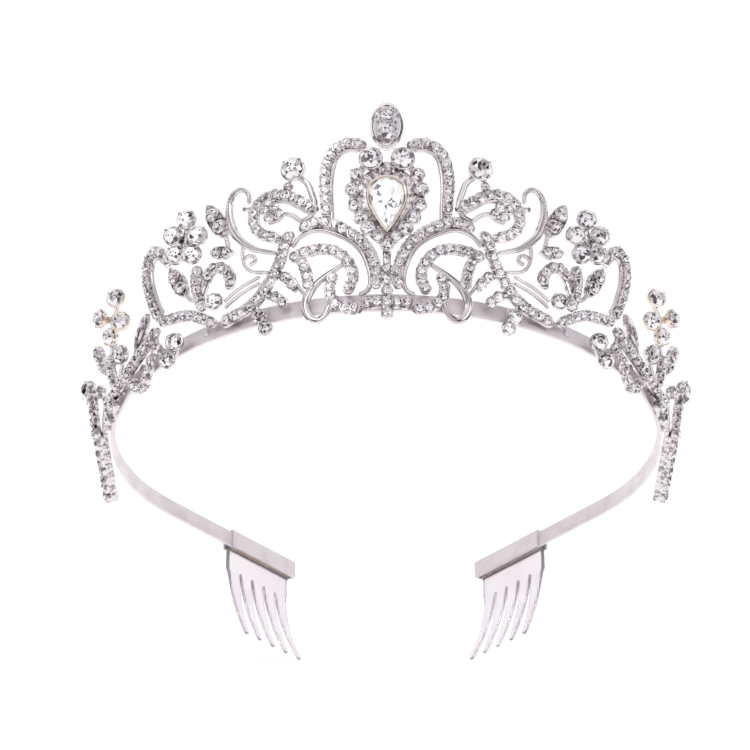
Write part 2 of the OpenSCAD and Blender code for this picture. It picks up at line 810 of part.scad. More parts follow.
on_right() inner_branch();  // inner_branch_right
on_left() inner_branch();  // inner_branch_left
on_right() inner_branch_stones();  // inner_branch_stones_right
on_left() inner_branch_stones();  // inner_branch_stones_left
on_right() side_wing();  // side_wing_right
on_left() side_wing();  // side_wing_left
on_right() side_wing_stones();  // side_wing_stones_right
on_left() side_wing_stones();  // side_wing_stones_left
on_right() flower(side_petals, side_heart);  // side_flower_right
on_left() flower(side_petals, side_heart);  // side_flower_left
on_right() flower_stones(side_petals);  // side_flower_stones_right
on_left() flower_stones(side_petals);  // side_flower_stones_left
on_right() tail_spray();  // tail_spray_right
on_left() tail_spray();  // tail_spray_left
on_right() tail_stones();  // tail_stones_right
on_left() tail_stones();  // tail_stones_left
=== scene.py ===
import math

import bmesh
import bpy
import numpy as np
from mathutils import Matrix, Vector


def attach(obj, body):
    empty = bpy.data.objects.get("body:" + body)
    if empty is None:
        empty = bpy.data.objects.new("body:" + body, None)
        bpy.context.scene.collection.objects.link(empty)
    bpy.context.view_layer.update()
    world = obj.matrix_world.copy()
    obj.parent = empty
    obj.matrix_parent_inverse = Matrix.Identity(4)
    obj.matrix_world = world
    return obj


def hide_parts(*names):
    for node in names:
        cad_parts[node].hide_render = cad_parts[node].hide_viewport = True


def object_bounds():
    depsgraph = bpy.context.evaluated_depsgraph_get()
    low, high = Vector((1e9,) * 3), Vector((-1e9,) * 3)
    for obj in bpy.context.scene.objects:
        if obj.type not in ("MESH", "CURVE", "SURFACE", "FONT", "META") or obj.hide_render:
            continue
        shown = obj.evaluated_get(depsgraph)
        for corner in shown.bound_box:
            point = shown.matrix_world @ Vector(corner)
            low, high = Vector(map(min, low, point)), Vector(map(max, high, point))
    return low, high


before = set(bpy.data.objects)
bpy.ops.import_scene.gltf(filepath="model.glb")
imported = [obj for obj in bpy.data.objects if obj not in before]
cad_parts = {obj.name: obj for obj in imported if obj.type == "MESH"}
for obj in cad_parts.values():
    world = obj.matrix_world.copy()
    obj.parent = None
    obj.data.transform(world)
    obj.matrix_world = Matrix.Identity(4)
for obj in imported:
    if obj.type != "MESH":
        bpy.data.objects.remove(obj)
cad_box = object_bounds()

# ---------- the tiara's driving sizes, in millimetres and degrees, as in the CAD frame ----------
MM = 0.001
FRONT_RADIUS = 70.0
SIDE_RADIUS = 56.0
SIDE_TURN = math.radians(39)
LEG_LENGTH = 48.0
BAND_WIDTH = 4.5
BAND_THICKNESS = 1.0
WORN_TILT = math.radians(30)
FLARE = math.radians(8.5)
CASTING = 1.4
RIBBON = 2.6
WIRE = 1.1
ROW_STONE = 2.1
ROW_PITCH = 2.35
PETAL_STONE = 4.3
COMB_TEETH = 5
COMB_LENGTH = 24.0
COMB_ROOT = 6.0
TOOTH_LENGTH = 20.0
COMB_THICKNESS = 1.5
TOOTH_CURVE = 6.0
TOOTH_LEAN = 0.6

SHEET_RADIUS = FRONT_RADIUS + 1
TAIL_START = SHEET_RADIUS * math.radians(90)
BACK, TAIL, TURNED, FRONT = 0.0, 0.95, 1.0, CASTING + 0.05
SEAT = CASTING / 2
GAP_TOP = 0.06
CHANNEL_WALL = 0.5
CHANNEL_LENGTH = COMB_LENGTH + 1.5
CHANNEL_OUTSIDE = COMB_THICKNESS + 0.3
CHANNEL_INSIDE = BAND_THICKNESS + CHANNEL_OUTSIDE
CHANNEL_START = LEG_LENGTH - COMB_LENGTH
SPINE_HEIGHT = BAND_WIDTH - 1
COMB_INSET = 0.6

# ---------- stones and what holds them, in millimetres ----------
CUP_WALL = 0.32
CUP_BASE = -0.55
PRONGED_ABOVE = 2.5
PRONGS = 4
GRAIN_SIDES = 8
GRAIN_ASIDE = 0.95
ROW_GRAIN = (0.46, 0.6)
# Shares of stone facets painted dark, and painted bright or dark: painted reflections of the studio.
PAINTED_DARK_SHARE = 0.22
PAINTED_BRIGHT_OR_DARK = 0.8
FINIAL_PLACE = [0, 46]
PEAR_PLACE = [0, 25.4]
PEAR_FACETS = 16

# ---------- scrolls of the ornament's right half, as [u, z] in millimetres ----------
# A third number turns a stone's place sideways, in degrees.
CROWN_ARCH = [
    [5.6, 42.1], [8.2, 42.7], [11, 41.4], [12.8, 38.6], [13.6, 35], [13.8, 31], [13.5, 27.6], [13.6, 25],
]
CROWN_WIRE = [
    [6.3, 40.8], [8.8, 40.9], [10.9, 39.4], [11.9, 36.6], [12.4, 33], [12.5, 29], [12.4, 26], [12.4, 23],
]
CROWN_STRAND = [
    [18.9, 21.9], [15.4, 22.6], [12, 21.7], [8.7, 19.5], [5.4, 16.7], [3.6, 13.5], [2.6, 10], [2.5, 6],
]
CROWN_EDGE = [
    [21.6, 17.8], [19.6, 19.8], [16.3, 20.8], [12.6, 19.8], [8.6, 17.4], [6, 14.6],
    [4.5, 11], [3.8, 7.5], [4.3, 4.8], [6, 3.6],
]
CROWN_COLUMN = [[0, 15], [0, 11.5], [0, 8], [0, 4], [0, -1.5]]
CROWN_FOOT = [[-4.5, 0.9], [0, 1.2], [4.5, 0.9]]
SCROLL_CURL = [
    [21.2, 14.6], [18.1, 15.5], [14.4, 15.6], [11.2, 14.4], [8.8, 11.7], [7.7, 8.6], [8.1, 6.4], [8.9, 4.9],
]
SCROLL_STRAND = [[12.3, 8.2], [13.2, 6], [13.1, 3.5], [11.8, 1.4], [9.2, 0], [7, -0.2]]
SCROLL_LOOP = [
    [10.3, 11.2], [14, 8.9], [16.8, 6.7], [18.7, 4], [19.3, 1.4],
    [18.1, -1.4], [16.2, -2.2], [14.5, -1], [13.6, 1.1],
]
SCROLL_HOOK = [[20.2, 14.2], [19, 11.6], [18.4, 9.3], [18.2, 6.6]]
SCROLL_SPUR = [[21.6, 9], [20.8, 7.2], [19.8, 5.4], [18.6, 4]]
SPIRAL_CURL = [
    [16.6, 26.4], [18.8, 28.2], [21.3, 30.1], [24.3, 31.5], [27.3, 31.5], [29.7, 29.9],
    [30.8, 27.3], [30.5, 24.4], [28.4, 21.7], [25.6, 20.4],
]
SPIRAL_EDGE = [[16.9, 25.2], [19.6, 27.2], [22.2, 29.2], [25, 30.1]]
SPIRAL_WIRE = [[17, 24.8], [19.4, 23.8], [21.4, 25.5], [23.4, 26.3], [25, 25.2], [26.8, 24.9]]
SPIRAL_STEM = [[19.3, 35], [17.8, 33.3], [17, 30.8], [16.4, 28.4], [16.4, 26.4]]
SPIRAL_CLUSTER = [[27.9, 28.1], [25.7, 28.5], [26.9, 26], [24.7, 26.4]]
LOWER_PATH = [
    [22.4, 20.4], [23.5, 18.2], [24.2, 15.7], [26, 12], [28.6, 8.2], [31.4, 5.4], [34.8, 3.6], [40, 2.6],
]
LOWER_LEAF = [[25.7, 11.1], [23.1, 9.2], [21.6, 6.4]]
LOWER_CURL = [[28.4, 6.3], [25.7, 5], [24.2, 3]]
FEATHER_PATH = [
    [31.9, 31.6], [32, 33.7], [33.4, 35.3], [35.5, 35], [36.9, 32.7], [37.1, 28.2],
    [35.5, 23.4], [31.9, 19.5], [28.8, 17.8], [26.2, 16.8],
]
FEATHER_BEADS = [[34, 20.6], [34.3, 17.6], [33.5, 14.8], [31.6, 13.1], [28.4, 12.3]]
FEATHER_CURL = [[34.2, 16.6], [32.9, 17.6], [31.5, 17.2], [31.1, 15.9], [32.1, 15.4]]
LEAF_STEM = [[38.8, 25.6], [38.2, 23.4], [37.9, 21.2]]
ARCH_PATH = [
    [56.3, 24.4], [57.4, 27], [59.3, 28.9], [61.4, 28.8], [63, 26.6],
    [63.7, 23], [63.3, 19.5], [62, 14.8], [60.6, 11.4],
]
ARCH_EDGE = [[57.6, 25.2], [59.2, 27.1], [61, 26.9], [62.1, 24.6], [62.1, 20.6], [60.9, 15.9], [59.5, 12.4]]
ARCH_BASE = [[58.9, 9.5], [54, 8.6], [50, 7.5], [46.6, 5.5], [43.6, 3.4]]
BRANCH_STEM = [[46.3, 8.6], [47.2, 12], [47.5, 16], [46.9, 18.2]]
BRANCH_CURL = [
    [46.4, 11.7], [44.6, 15], [42.9, 16.8], [40.6, 16.9], [38.8, 15.6], [37.6, 13.4], [38.2, 11.7],
]
WING_STRAND = [[62.2, 8.2], [65, 6.8], [69, 5.6], [73.4, 4.4], [78.7, 3.4], [84, 3], [89, 3.4], [92.6, 4]]
WING_STEM = [[83.6, 15.6], [85.8, 12.6], [86.2, 9], [85.2, 5.4]]
WING_LOOP = [[63.4, 4.2], [65.6, 1.4], [67.6, -1.8], [69.8, -3.2], [72.2, -2.4], [73.8, 0], [76.4, 1]]
TAIL_PLATE = [[96.4, 4], [104, 4.2], [112, 4.6], [121, 4.4], [131, 4], [141.6, 3.3]]
TAIL_PATH = [[111, 4.6], [119, 4.5], [127, 4.1], [135, 3.7], [141, 3.3]]
TAIL_ROW = [[113.8, 4.6], [119, 4.5], [127, 4.1], [135, 3.7], [141, 3.3]]
TAIL_CHAIN = [[108.7, 15.8], [109.2, 12.2], [109.2, 8], [108.8, 4.4]]
TAIL_BRANCH = [[101, 5], [99.4, 7.6], [98.2, 10]]
FRONT_PETALS = [[47.4, 31.1, 28], [51.6, 28.5, 28], [44.6, 25.7, 28], [51.2, 23.2, 28], [46.6, 21.5, 28]]
FRONT_HEART = [48.8, 26.3]
SIDE_PETALS = [[74.4, 22.8, 38], [84.2, 23, 8], [73.2, 15.8, 38], [79, 14.8, 20]]
SIDE_HEART = [79, 19.6]
HALO_PLACES = [[6.6, 33.3], [7.5, 29.5], [7.1, 25.4], [5.8, 22.1], [4.2, 19.3]]
HALO_RING = [[3.4, 37.2]] + HALO_PLACES
SOLDER_PLACES = [0, 9, 30, 40, 47, 57, 71, 84, 92, 103]

# ---------- curves ----------


def smooth(path, steps=4):
    """Catmull-Rom curve through the given points."""
    p = np.array(path, float)
    last = len(p) - 1
    line = []
    for i in range(last):
        a, b, c, d = p[max(i - 1, 0)], p[i], p[i + 1], p[min(i + 2, last)]
        for t in np.arange(steps) / steps:
            line.append(0.5 * (2 * b + (c - a) * t + (2 * a - 5 * b + 4 * c - d) * t**2
                               + (3 * b - a - 3 * c + d) * t**3))
    return np.array(line + [p[last]])


def distances(p):
    """How far along its line each point lies."""
    return np.concatenate([[0], np.cumsum(np.linalg.norm(np.diff(p, axis=0), axis=1))])


def points_at(p, far):
    """The points that lie at the given distances along a line."""
    d = distances(p)
    return np.column_stack([np.interp(far, d, p[:, k]) for k in range(p.shape[1])])


def places(path, pitch):
    """Evenly spaced places along a path, for stones and beads."""
    p = smooth(path)
    total = distances(p)[-1]
    count = int(total / pitch)
    start = (total - count * pitch) / 2
    return points_at(p, start + np.arange(count + 1) * pitch)


def even(path, gap):
    """A finely smoothed path with its points about a gap apart."""
    p = smooth(path, 16)
    total = distances(p)[-1]
    return points_at(p, np.linspace(0, total, max(3, round(total / gap) + 1)))


def around(count):
    """Evenly spaced angles of a full turn."""
    return np.linspace(0, 2 * math.pi, count, endpoint=False)


def leaf_outline(long, wide):
    """A leaf, pointed at both ends."""
    a = around(40)
    return np.column_stack([wide / 2 * np.sin(a) * np.sqrt(np.abs(np.sin(a))), long / 2 * np.cos(a)])


def pear_outline(long, wide, count=48):
    """A pear shape, its point up."""
    a = around(count)
    return np.column_stack([wide * 0.64 * np.sin(a) * np.abs(np.sin(a / 2)) ** 1.1, -long / 2 * np.cos(a)])


def finial_outline(long, wide):
    """A pointed oval, a little fuller below."""
    a = around(48)
    lean = (1 - 0.22 * np.cos(a)) * np.abs(np.cos(a / 2)) ** 0.35
    return np.column_stack([wide / 2 * np.sin(a) * lean, long / 2 * np.cos(a)])


def oval(wide, high, count=12, power=2.0):
    """Cross-section as [across, out]: an ellipse, or a squarer one for a higher power."""
    a = around(count)
    c, s = np.cos(a), np.sin(a)
    return np.column_stack([wide / 2 * np.sign(c) * np.abs(c) ** (2 / power),
                            high / 2 * np.sign(s) * np.abs(s) ** (2 / power)])


# ---------- places on the tiara ----------


def on_front(points):
    """Wraps points [u, z, out] of the ornament's sheet round the headband."""
    u, z, out = np.asarray(points, float).T
    side = np.where(u < 0, -1, 1)
    angle = np.minimum(np.abs(u), TAIL_START) / SHEET_RADIUS
    past = np.maximum(np.abs(u) - TAIL_START, 0)
    radius = SHEET_RADIUS + z * math.sin(FLARE) + out * math.cos(FLARE)
    return np.column_stack([side * (radius * np.sin(angle) + past * np.cos(angle)),
                            -radius * np.cos(angle) + past * np.sin(angle),
                            z * math.cos(FLARE) - out * math.sin(FLARE)])


def at_front(place, layer):
    """Where a part stands on the ornament: X runs round, Y runs up and Z stands out."""
    u, z = place[0], place[1]
    turn = math.radians(place[2]) if len(place) > 2 else 0
    side = -1 if u < 0 else 1
    angle = side * min(abs(u), TAIL_START) / SHEET_RADIUS
    past = side * max(abs(u) - TAIL_START, 0)
    radius = SHEET_RADIUS + z * math.sin(FLARE) + layer * math.cos(FLARE)
    height = z * math.cos(FLARE) - layer * math.sin(FLARE)
    return (Matrix.Rotation(angle, 4, "Z") @ Matrix.Translation((past, -radius, height))
            @ Matrix.Rotation(math.pi / 2 + FLARE, 4, "X") @ Matrix.Rotation(-turn, 4, "Y"))


def at_leg():
    """Where the right-hand leg begins, X along the leg and Y inwards."""
    return (Matrix.Translation((FRONT_RADIUS - SIDE_RADIUS, 0, 0)) @ Matrix.Rotation(SIDE_TURN, 4, "Z")
            @ Matrix.Translation((SIDE_RADIUS, 0, 0)) @ Matrix.Rotation(math.pi / 2, 4, "Z"))


def moved(matrix, points):
    """Points carried by a matrix."""
    m = np.array(matrix)
    return np.asarray(points, float) @ m[:3, :3].T + m[:3, 3]


# ---------- geometry ----------


def loft(rings, closed=True):
    """Joins rings of equal length into a skin, with both ends closed."""
    n = len(rings[0])
    points = np.concatenate(rings)
    faces = []
    for i in range(len(rings) - 1):
        for j in range(n):
            a, b = i * n + j, i * n + (j + 1) % n
            faces.append((a, b, b + n, a + n))
    if closed:
        top = (len(rings) - 1) * n
        faces.append(tuple(range(n))[::-1])
        faces.append(tuple(range(top, top + n)))
    return points, faces


def revolved(profile, sides):
    """Turns a profile [radius, height] about Z. It starts and ends on the axis."""
    a = around(sides)
    inner = profile[1:-1]
    rings = [np.column_stack([r * np.cos(a), r * np.sin(a), np.full(sides, h)]) for r, h in inner]
    points, faces = loft(rings, closed=False)
    first, last = len(points), len(points) + 1
    points = np.vstack([points, [0, 0, profile[0][1]], [0, 0, profile[-1][1]]])
    top = (len(inner) - 1) * sides
    for j in range(sides):
        k = (j + 1) % sides
        faces.append((first, k, j))
        faces.append((last, top + j, top + k))
    return points, faces


def dome(radius, height, base=0.0, sides=GRAIN_SIDES):
    """A round grain or boss, with a short root that sinks into what it stands on."""
    root = base - radius * 0.5
    arc = [(radius * math.cos(t), base + height * math.sin(t)) for t in np.radians([0, 25, 50, 72])]
    return revolved([(0, root), (radius * 0.8, root)] + arc + [(0, base + height)], sides)


def stacked(outline, levels):
    """Rings of one outline, one for each level given as (long, wide, height)."""
    rings = []
    for long, wide, height in levels:
        ring = outline(long, wide)
        rings.append(np.column_stack([ring, np.full(len(ring), height)]))
    return rings


def in_scene(name, data):
    """A new object in the scene."""
    thing = bpy.data.objects.new(name, data)
    bpy.context.scene.collection.objects.link(thing)
    return thing


class Piece:
    """Collects one piece's geometry in the band's own plane. A left piece is mirrored."""

    def __init__(self, tag=""):
        self.tag = tag
        self.side = -1 if tag == "left" else 1
        self.points, self.faces, self.looks, self.painted_tones = [], [], [], []
        self.count = 0

    def add(self, points, faces, look=0, painted_tones=None):
        """Adds a shape. A look is a material's number, and each facet's tone is a painted reflection: the
        share of light painted on it.
        """
        self.points.append(np.asarray(points, float))
        self.faces += [tuple(i + self.count for i in face) for face in faces]
        self.looks += [look] * len(faces)
        self.painted_tones += list(painted_tones) if painted_tones is not None else [0.5] * len(faces)
        self.count += len(points)

    def placed(self, matrix, shape, look=0, painted_tones=None):
        """Adds a shape that a matrix carries to its place."""
        self.add(moved(matrix, shape[0]), shape[1], look, painted_tones)

    def wrapped(self, shape, look):
        """Adds a flat shape wrapped round the headband."""
        self.add(on_front(shape[0]), shape[1], look)

    def build(self, name, looks, sharp=35):
        """Makes the object that replaces the CAD node of the same name. Sharp 0 leaves facets flat."""
        name = f"{name}_{self.tag}" if self.tag else name
        points = np.concatenate(self.points) * [self.side, 1, 1]
        points = moved(Matrix.Rotation(-WORN_TILT, 4, "X"), points) * MM
        mesh = bpy.data.meshes.new(name)
        mesh.from_pydata(points.tolist(), [], self.faces)
        for material in looks:
            mesh.materials.append(material)
        mesh.polygons.foreach_set("material_index", np.array(self.looks, np.int32))
        # Each facet's tone is its painted reflection, read by the stone materials.
        painted_tone = mesh.attributes.new("painted_tone", "FLOAT", "FACE")
        painted_tone.data.foreach_set("value", np.array(self.painted_tones, np.float32))
        tidy = bmesh.new()
        tidy.from_mesh(mesh)
        bmesh.ops.recalc_face_normals(tidy, faces=tidy.faces)
        tidy.to_mesh(mesh)
        tidy.free()
        if sharp:
            mesh.shade_smooth()
            mesh.set_sharp_from_angle(angle=math.radians(sharp))
        piece = in_scene(name, mesh)
        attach(piece, "root")
        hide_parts(name)


def sweep(piece, path, section, layer=BACK, widths=(1, 1, 1), look=0, gap=0.5):
    """Sweeps a section along a path with rounded ends. Its width follows start, middle and end."""
    line = even(path, gap)
    ahead = np.gradient(line, axis=0)
    ahead /= np.linalg.norm(ahead, axis=1)[:, None]
    wide = np.interp(np.linspace(0, 1, len(line)), [0, 0.5, 1], widths)
    half = section[:, 0].max()

    def ring(centre, heading, scale, flat):
        across = np.array([-heading[1], heading[0]])
        spot = centre + across * section[:, :1] * scale
        return np.column_stack([spot, layer + section[:, 1] * flat])

    def rounded(i, way):
        caps = []
        for t in (28, 55, 80):
            c, s = math.cos(math.radians(t)), math.sin(math.radians(t))
            caps.append(ring(line[i] + way * ahead[i] * half * wide[i] * s, ahead[i], wide[i] * c, c))
        return caps

    body = [ring(p, h, w, 1) for p, h, w in zip(line, ahead, wide)]
    piece.wrapped(loft(rounded(0, -1)[::-1] + body + rounded(-1, 1)), look)


# ---------- settings ----------


def cup(d):
    """A collet: a tapered cup whose rim holds the stone just under its girdle."""
    r = d / 2
    rim = SEAT + 0.2 * d
    outside = [(0, CUP_BASE), (r * 0.62, CUP_BASE), (r * 0.74, CUP_BASE + 0.12),
               (r + CUP_WALL * 0.4, SEAT * 0.4), (r + CUP_WALL * 0.9, SEAT * 0.8),
               (r + CUP_WALL, rim - 0.14), (r + CUP_WALL * 0.6, rim)]
    inside = [(r - 0.02, rim + 0.02), (r * 0.8, SEAT + 0.08 * d), (r * 0.6, SEAT - 0.02), (0, SEAT - 0.02)]
    return revolved(outside + inside, 22)


def set_cup(piece, place, d, layer, look=0):
    """A stone's cup, with prongs on its rim where the stone is large."""
    spot = at_front(place, layer)
    piece.placed(spot, cup(d), look)
    for k in range(PRONGS if d > PRONGED_ABOVE else 0):
        a = math.radians(45 + k * 360 / PRONGS)
        foot = Matrix.Translation((d * 0.5 * math.cos(a), d * 0.5 * math.sin(a), SEAT + 0.27 * d))
        piece.placed(spot @ foot, dome(0.26 + d * 0.035, 0.26), look)


def set_row(piece, row, layer):
    """Cups for a row of stones, with a pair of grains between neighbours."""
    for place in row:
        set_cup(piece, place, ROW_STONE, layer)
    for a, b in zip(row[:-1], row[1:]):
        step = b - a
        far = np.linalg.norm(step)
        across = np.array([-step[1], step[0]]) / far
        for way in (-1, 1):
            spot = (a + b) / 2 + way * across * GRAIN_ASIDE
            piece.placed(at_front(spot, layer), dome(*ROW_GRAIN, SEAT + 0.05))


def beads(piece, path, pitch, size, lift):
    """A line of polished beads on a wire."""
    for place in places(path, pitch):
        piece.placed(at_front(place, BACK), dome(size / 2, size * 0.55, lift), 1)


def leaf(piece, start, end, wide, stones):
    """A leaf with a raised rim and a recessed floor, grains between its stones and at its tips; the stones'
    cups are set with the casting's other loose seats.
    """
    start, end = np.array(start, float), np.array(end, float)
    run = end - start
    heading = math.atan2(run[1], run[0]) - math.pi / 2
    spot = at_front((start + end) / 2, BACK) @ Matrix.Rotation(heading, 4, "Z")
    long = np.linalg.norm(run)
    levels = [(0.9, -0.7), (1, -0.45), (1, 0.5), (0.97, 0.68), (0.88, 0.7), (0.8, 0.5), (0.76, 0.25)]
    piece.placed(spot, loft(stacked(leaf_outline, [(long * k, wide * k, h) for k, h in levels])))
    axis = run / long
    across = np.array([-axis[1], axis[0]])
    for a, b in zip(stones[:-1], stones[1:]):
        middle = (np.array(a[0]) + np.array(b[0])) / 2
        for way in (-1, 1):
            piece.placed(at_front(middle + way * across * wide * 0.3, BACK), dome(0.36, 0.5, 0.5))
    for tip, way in ((start, 1), (end, -1)):
        piece.placed(at_front(tip + axis * way * 1.5, BACK), dome(0.34, 0.45, 0.4))


# ---------- stones ----------


def painted_facet_tones(count, rng, painted_bright, painted_dark):
    """Painted reflections for the facets: a share of them painted bright, a share painted dark and the rest
    grey.
    """
    pick = rng.random(count)
    shade = rng.random(count)
    return np.where(pick < painted_bright, 0.82 + 0.18 * shade,
                    np.where(pick < 1 - painted_dark, 0.35 + 0.4 * shade, 0.02 + 0.2 * shade))


def brilliant(d, rng, painted_dark):
    """A flat-backed round brilliant, its table split where the back facets show through, each facet with a
    painted reflection tone.
    """
    low, top = SEAT + 0.18 * d, SEAT + 0.25 * d
    spin = rng.random() * math.pi / 4

    def ring(count, r, h, shift=0.0):
        a = spin + (np.arange(count) + shift) * 2 * math.pi / count
        return np.column_stack([r * np.cos(a), r * np.sin(a), np.full(count, h)])

    points = np.concatenate([
        ring(8, 0.34 * d, SEAT), ring(16, 0.5 * d, low), ring(16, 0.5 * d, top),
        ring(8, 0.41 * d, SEAT + 0.38 * d), ring(8, 0.28 * d, SEAT + 0.485 * d, 0.5),
        ring(8, 0.15 * d, SEAT + 0.49 * d), [[0, 0, SEAT + 0.49 * d], [0, 0, SEAT]]])
    base, g0, g1, mid, tab, core, tip, foot = 0, 8, 24, 40, 48, 56, 64, 65
    faces = []
    for k in range(8):
        n, p = (k + 1) % 8, (k - 1) % 8
        here, after, later, before = 2 * k, 2 * k + 1, (2 * k + 2) % 16, (2 * k - 1) % 16
        faces += [(foot, base + n, base + k), (tip, core + k, core + n),
                  (core + k, tab + k, core + n), (tab + p, tab + k, core + k),
                  (tab + p, mid + k, tab + k), (mid + k, g1 + after, mid + n, tab + k),
                  (mid + k, g1 + here, g1 + after), (mid + k, g1 + before, g1 + here),
                  (base + k, base + n, g0 + later, g0 + after), (base + k, g0 + after, g0 + here)]
    for j in range(16):
        i = (j + 1) % 16
        faces.append((g0 + j, g0 + i, g1 + i, g1 + j))
    return (points, faces), painted_facet_tones(len(faces), rng, PAINTED_BRIGHT_OR_DARK - painted_dark, painted_dark)


def set_stones(piece, seats, rng, painted_dark=PAINTED_DARK_SHARE):
    """Round stones at seats given as (place, diameter, layer)."""
    for place, d, layer in seats:
        shape, painted_tones = brilliant(d, rng, painted_dark)
        piece.placed(at_front(place, layer), shape, 0, painted_tones)


def pear_crystal(piece, rng):
    """The pear stone: a girdle, a faceted crown and a table cut into large facets."""
    count = PEAR_FACETS
    levels = [(13.2, 8.2, 0.0, 0), (13.2, 8.2, 0.9, 0), (11.4, 6.9, 1.45, 1), (9.0, 5.2, 1.75, 0),
              (4.6, 2.7, 1.8, 1)]
    rings = []
    for long, wide, height, shift in levels:
        outline = pear_outline(long, wide, 2 * count)[shift::2]
        rings.append(np.column_stack([outline, np.full(count, height)]))
    points = np.vstack(rings + [[[0, -0.5, 1.8], [0, 0, 0]]])
    faces = []
    for i in range(len(rings) - 1):
        for j in range(count):
            a, b = i * count + j, i * count + (j + 1) % count
            shift = levels[i + 1][3] - levels[i][3]
            if shift == 0:
                faces.append((a, b, b + count, a + count))
            elif shift > 0:
                faces += [(a, b, a + count), (b, b + count, a + count)]
            else:
                faces += [(a, b + count, a + count), (a, b, b + count)]
    centre, foot = len(points) - 2, len(points) - 1
    top = (len(rings) - 1) * count
    for j in range(count):
        faces += [(centre, top + j, top + (j + 1) % count), (foot, (j + 1) % count, j)]
    painted_tones = painted_facet_tones(len(faces), rng, 0.6, 0.2)
    piece.placed(at_front(PEAR_PLACE, FRONT + SEAT), (points, faces), 0, painted_tones)


# ---------- materials ----------


def new_look(name):
    """A new node material, with its tree and its shader."""
    material = bpy.data.materials.new(name)
    material.use_nodes = True
    tree = material.node_tree
    return material, tree, tree.nodes["Principled BSDF"]


def feed(tree, node, values):
    """Sets a node's inputs: a number stays on the socket, and an output is linked to it."""
    for socket, value in values.items():
        if isinstance(value, bpy.types.NodeSocket):
            tree.links.new(value, node.inputs[socket])
        else:
            node.inputs[socket].default_value = value


def calc(tree, operation, *values):
    """A math node's result."""
    node = tree.nodes.new("ShaderNodeMath")
    node.operation = operation
    feed(tree, node, dict(enumerate(values)))
    return node.outputs[0]


def ramp(tree, fac, stops, smooth_steps=True):
    """The colour that a ramp of (place, colour) stops gives."""
    node = tree.nodes.new("ShaderNodeValToRGB")
    node.color_ramp.interpolation = "EASE" if smooth_steps else "LINEAR"
    while len(node.color_ramp.elements) < len(stops):
        node.color_ramp.elements.new(0.5)
    for element, (place, colour) in zip(node.color_ramp.elements, stops):
        element.position = place
        element.color = (*colour, 1)
    tree.links.new(fac, node.inputs["Fac"])
    return node.outputs["Color"]


def noise(tree, scale, detail=3.0):
    """Noise in the object's own space."""
    spot = tree.nodes.new("ShaderNodeTexCoord")
    node = tree.nodes.new("ShaderNodeTexNoise")
    feed(tree, node, {"Scale": scale, "Detail": detail, "Vector": spot.outputs["Object"]})
    return node.outputs["Fac"]


def clouded(tree, shader, scale, stops, detail=3.0):
    """Gives a shader a base colour that drifts between two tints."""
    colour = ramp(tree, noise(tree, scale, detail), stops)
    feed(tree, shader, {"Base Color": colour})
    return colour


def metal(name, light, shade, rough, grain=900.0, bump=0.12, patch=160.0):
    """Polished plated metal, slightly uneven in tint, gloss and surface. Where the shade tint is far darker,
    the mottling is painted sparkle: dark reflections painted into the colour.
    """
    material, tree, shader = new_look(name)
    clouded(tree, shader, patch, [(0.36, shade), (0.56, light)])
    fine = noise(tree, grain, 4)
    gloss = tree.nodes.new("ShaderNodeMapRange")
    feed(tree, gloss, {"Value": fine, "To Min": rough * 0.7, "To Max": rough * 1.4})
    relief = tree.nodes.new("ShaderNodeBump")
    feed(tree, relief, {"Strength": bump, "Distance": RELIEF_DEPTH, "Height": fine})
    feed(tree, shader, {"Metallic": 1.0, "Roughness": gloss.outputs["Result"],
                        "Normal": relief.outputs["Normal"]})
    return material


def crystal(name, stops, metallic, painted_glow):
    """Foil-backed glass under a glassy coat. Each facet's colour is a painted reflection, bright, grey or
    dark, with a painted flicker on it, and that colour also glows faintly as painted light.
    """
    material, tree, shader = new_look(name)
    painted_tone = tree.nodes.new("ShaderNodeAttribute")
    painted_tone.attribute_name = "painted_tone"
    # A fine painted flicker on top of each facet's painted reflection.
    painted_flicker = calc(tree, "MULTIPLY_ADD", noise(tree, 700, 2), 0.2, painted_tone.outputs["Fac"])
    colour = ramp(tree, calc(tree, "SUBTRACT", painted_flicker, 0.1), stops, False)
    # The emission is painted glow: each facet's painted colour lit from within.
    feed(tree, shader, {"Base Color": colour, "Metallic": metallic, "Roughness": 0.06, "IOR": 1.6,
                        "Emission Color": colour, "Emission Strength": painted_glow,
                        "Coat Weight": 0.8, "Coat Roughness": 0.02})
    return material


def clear_plastic():
    """Clear moulded plastic with a faint pink cast."""
    material, tree, shader = new_look("clear_plastic")
    clouded(tree, shader, 90, [(0.3, (0.9, 0.84, 0.89)), (0.7, (0.96, 0.93, 0.95))])
    feed(tree, shader, {"Transmission Weight": 0.85, "Roughness": 0.12, "IOR": 1.3})
    return material


def glue():
    """Brown adhesive, cloudy and slightly glossy."""
    material, tree, shader = new_look("adhesive")
    clouded(tree, shader, 500, [(0.3, (0.3, 0.2, 0.15)), (0.7, (0.5, 0.38, 0.3))])
    feed(tree, shader, {"Roughness": 0.35})
    return material


def studio_paper():
    """Plain white backdrop paper, which glows a little."""
    material, tree, shader = new_look("backdrop")
    colour = clouded(tree, shader, 6, [(0.3, (0.93, 0.925, 0.93)), (0.7, (0.95, 0.945, 0.95))], 2)
    feed(tree, shader, {"Roughness": 0.9, "Specular IOR Level": 0.1, "Emission Color": colour,
                        "Emission Strength": PAPER_GLOW})
    return material


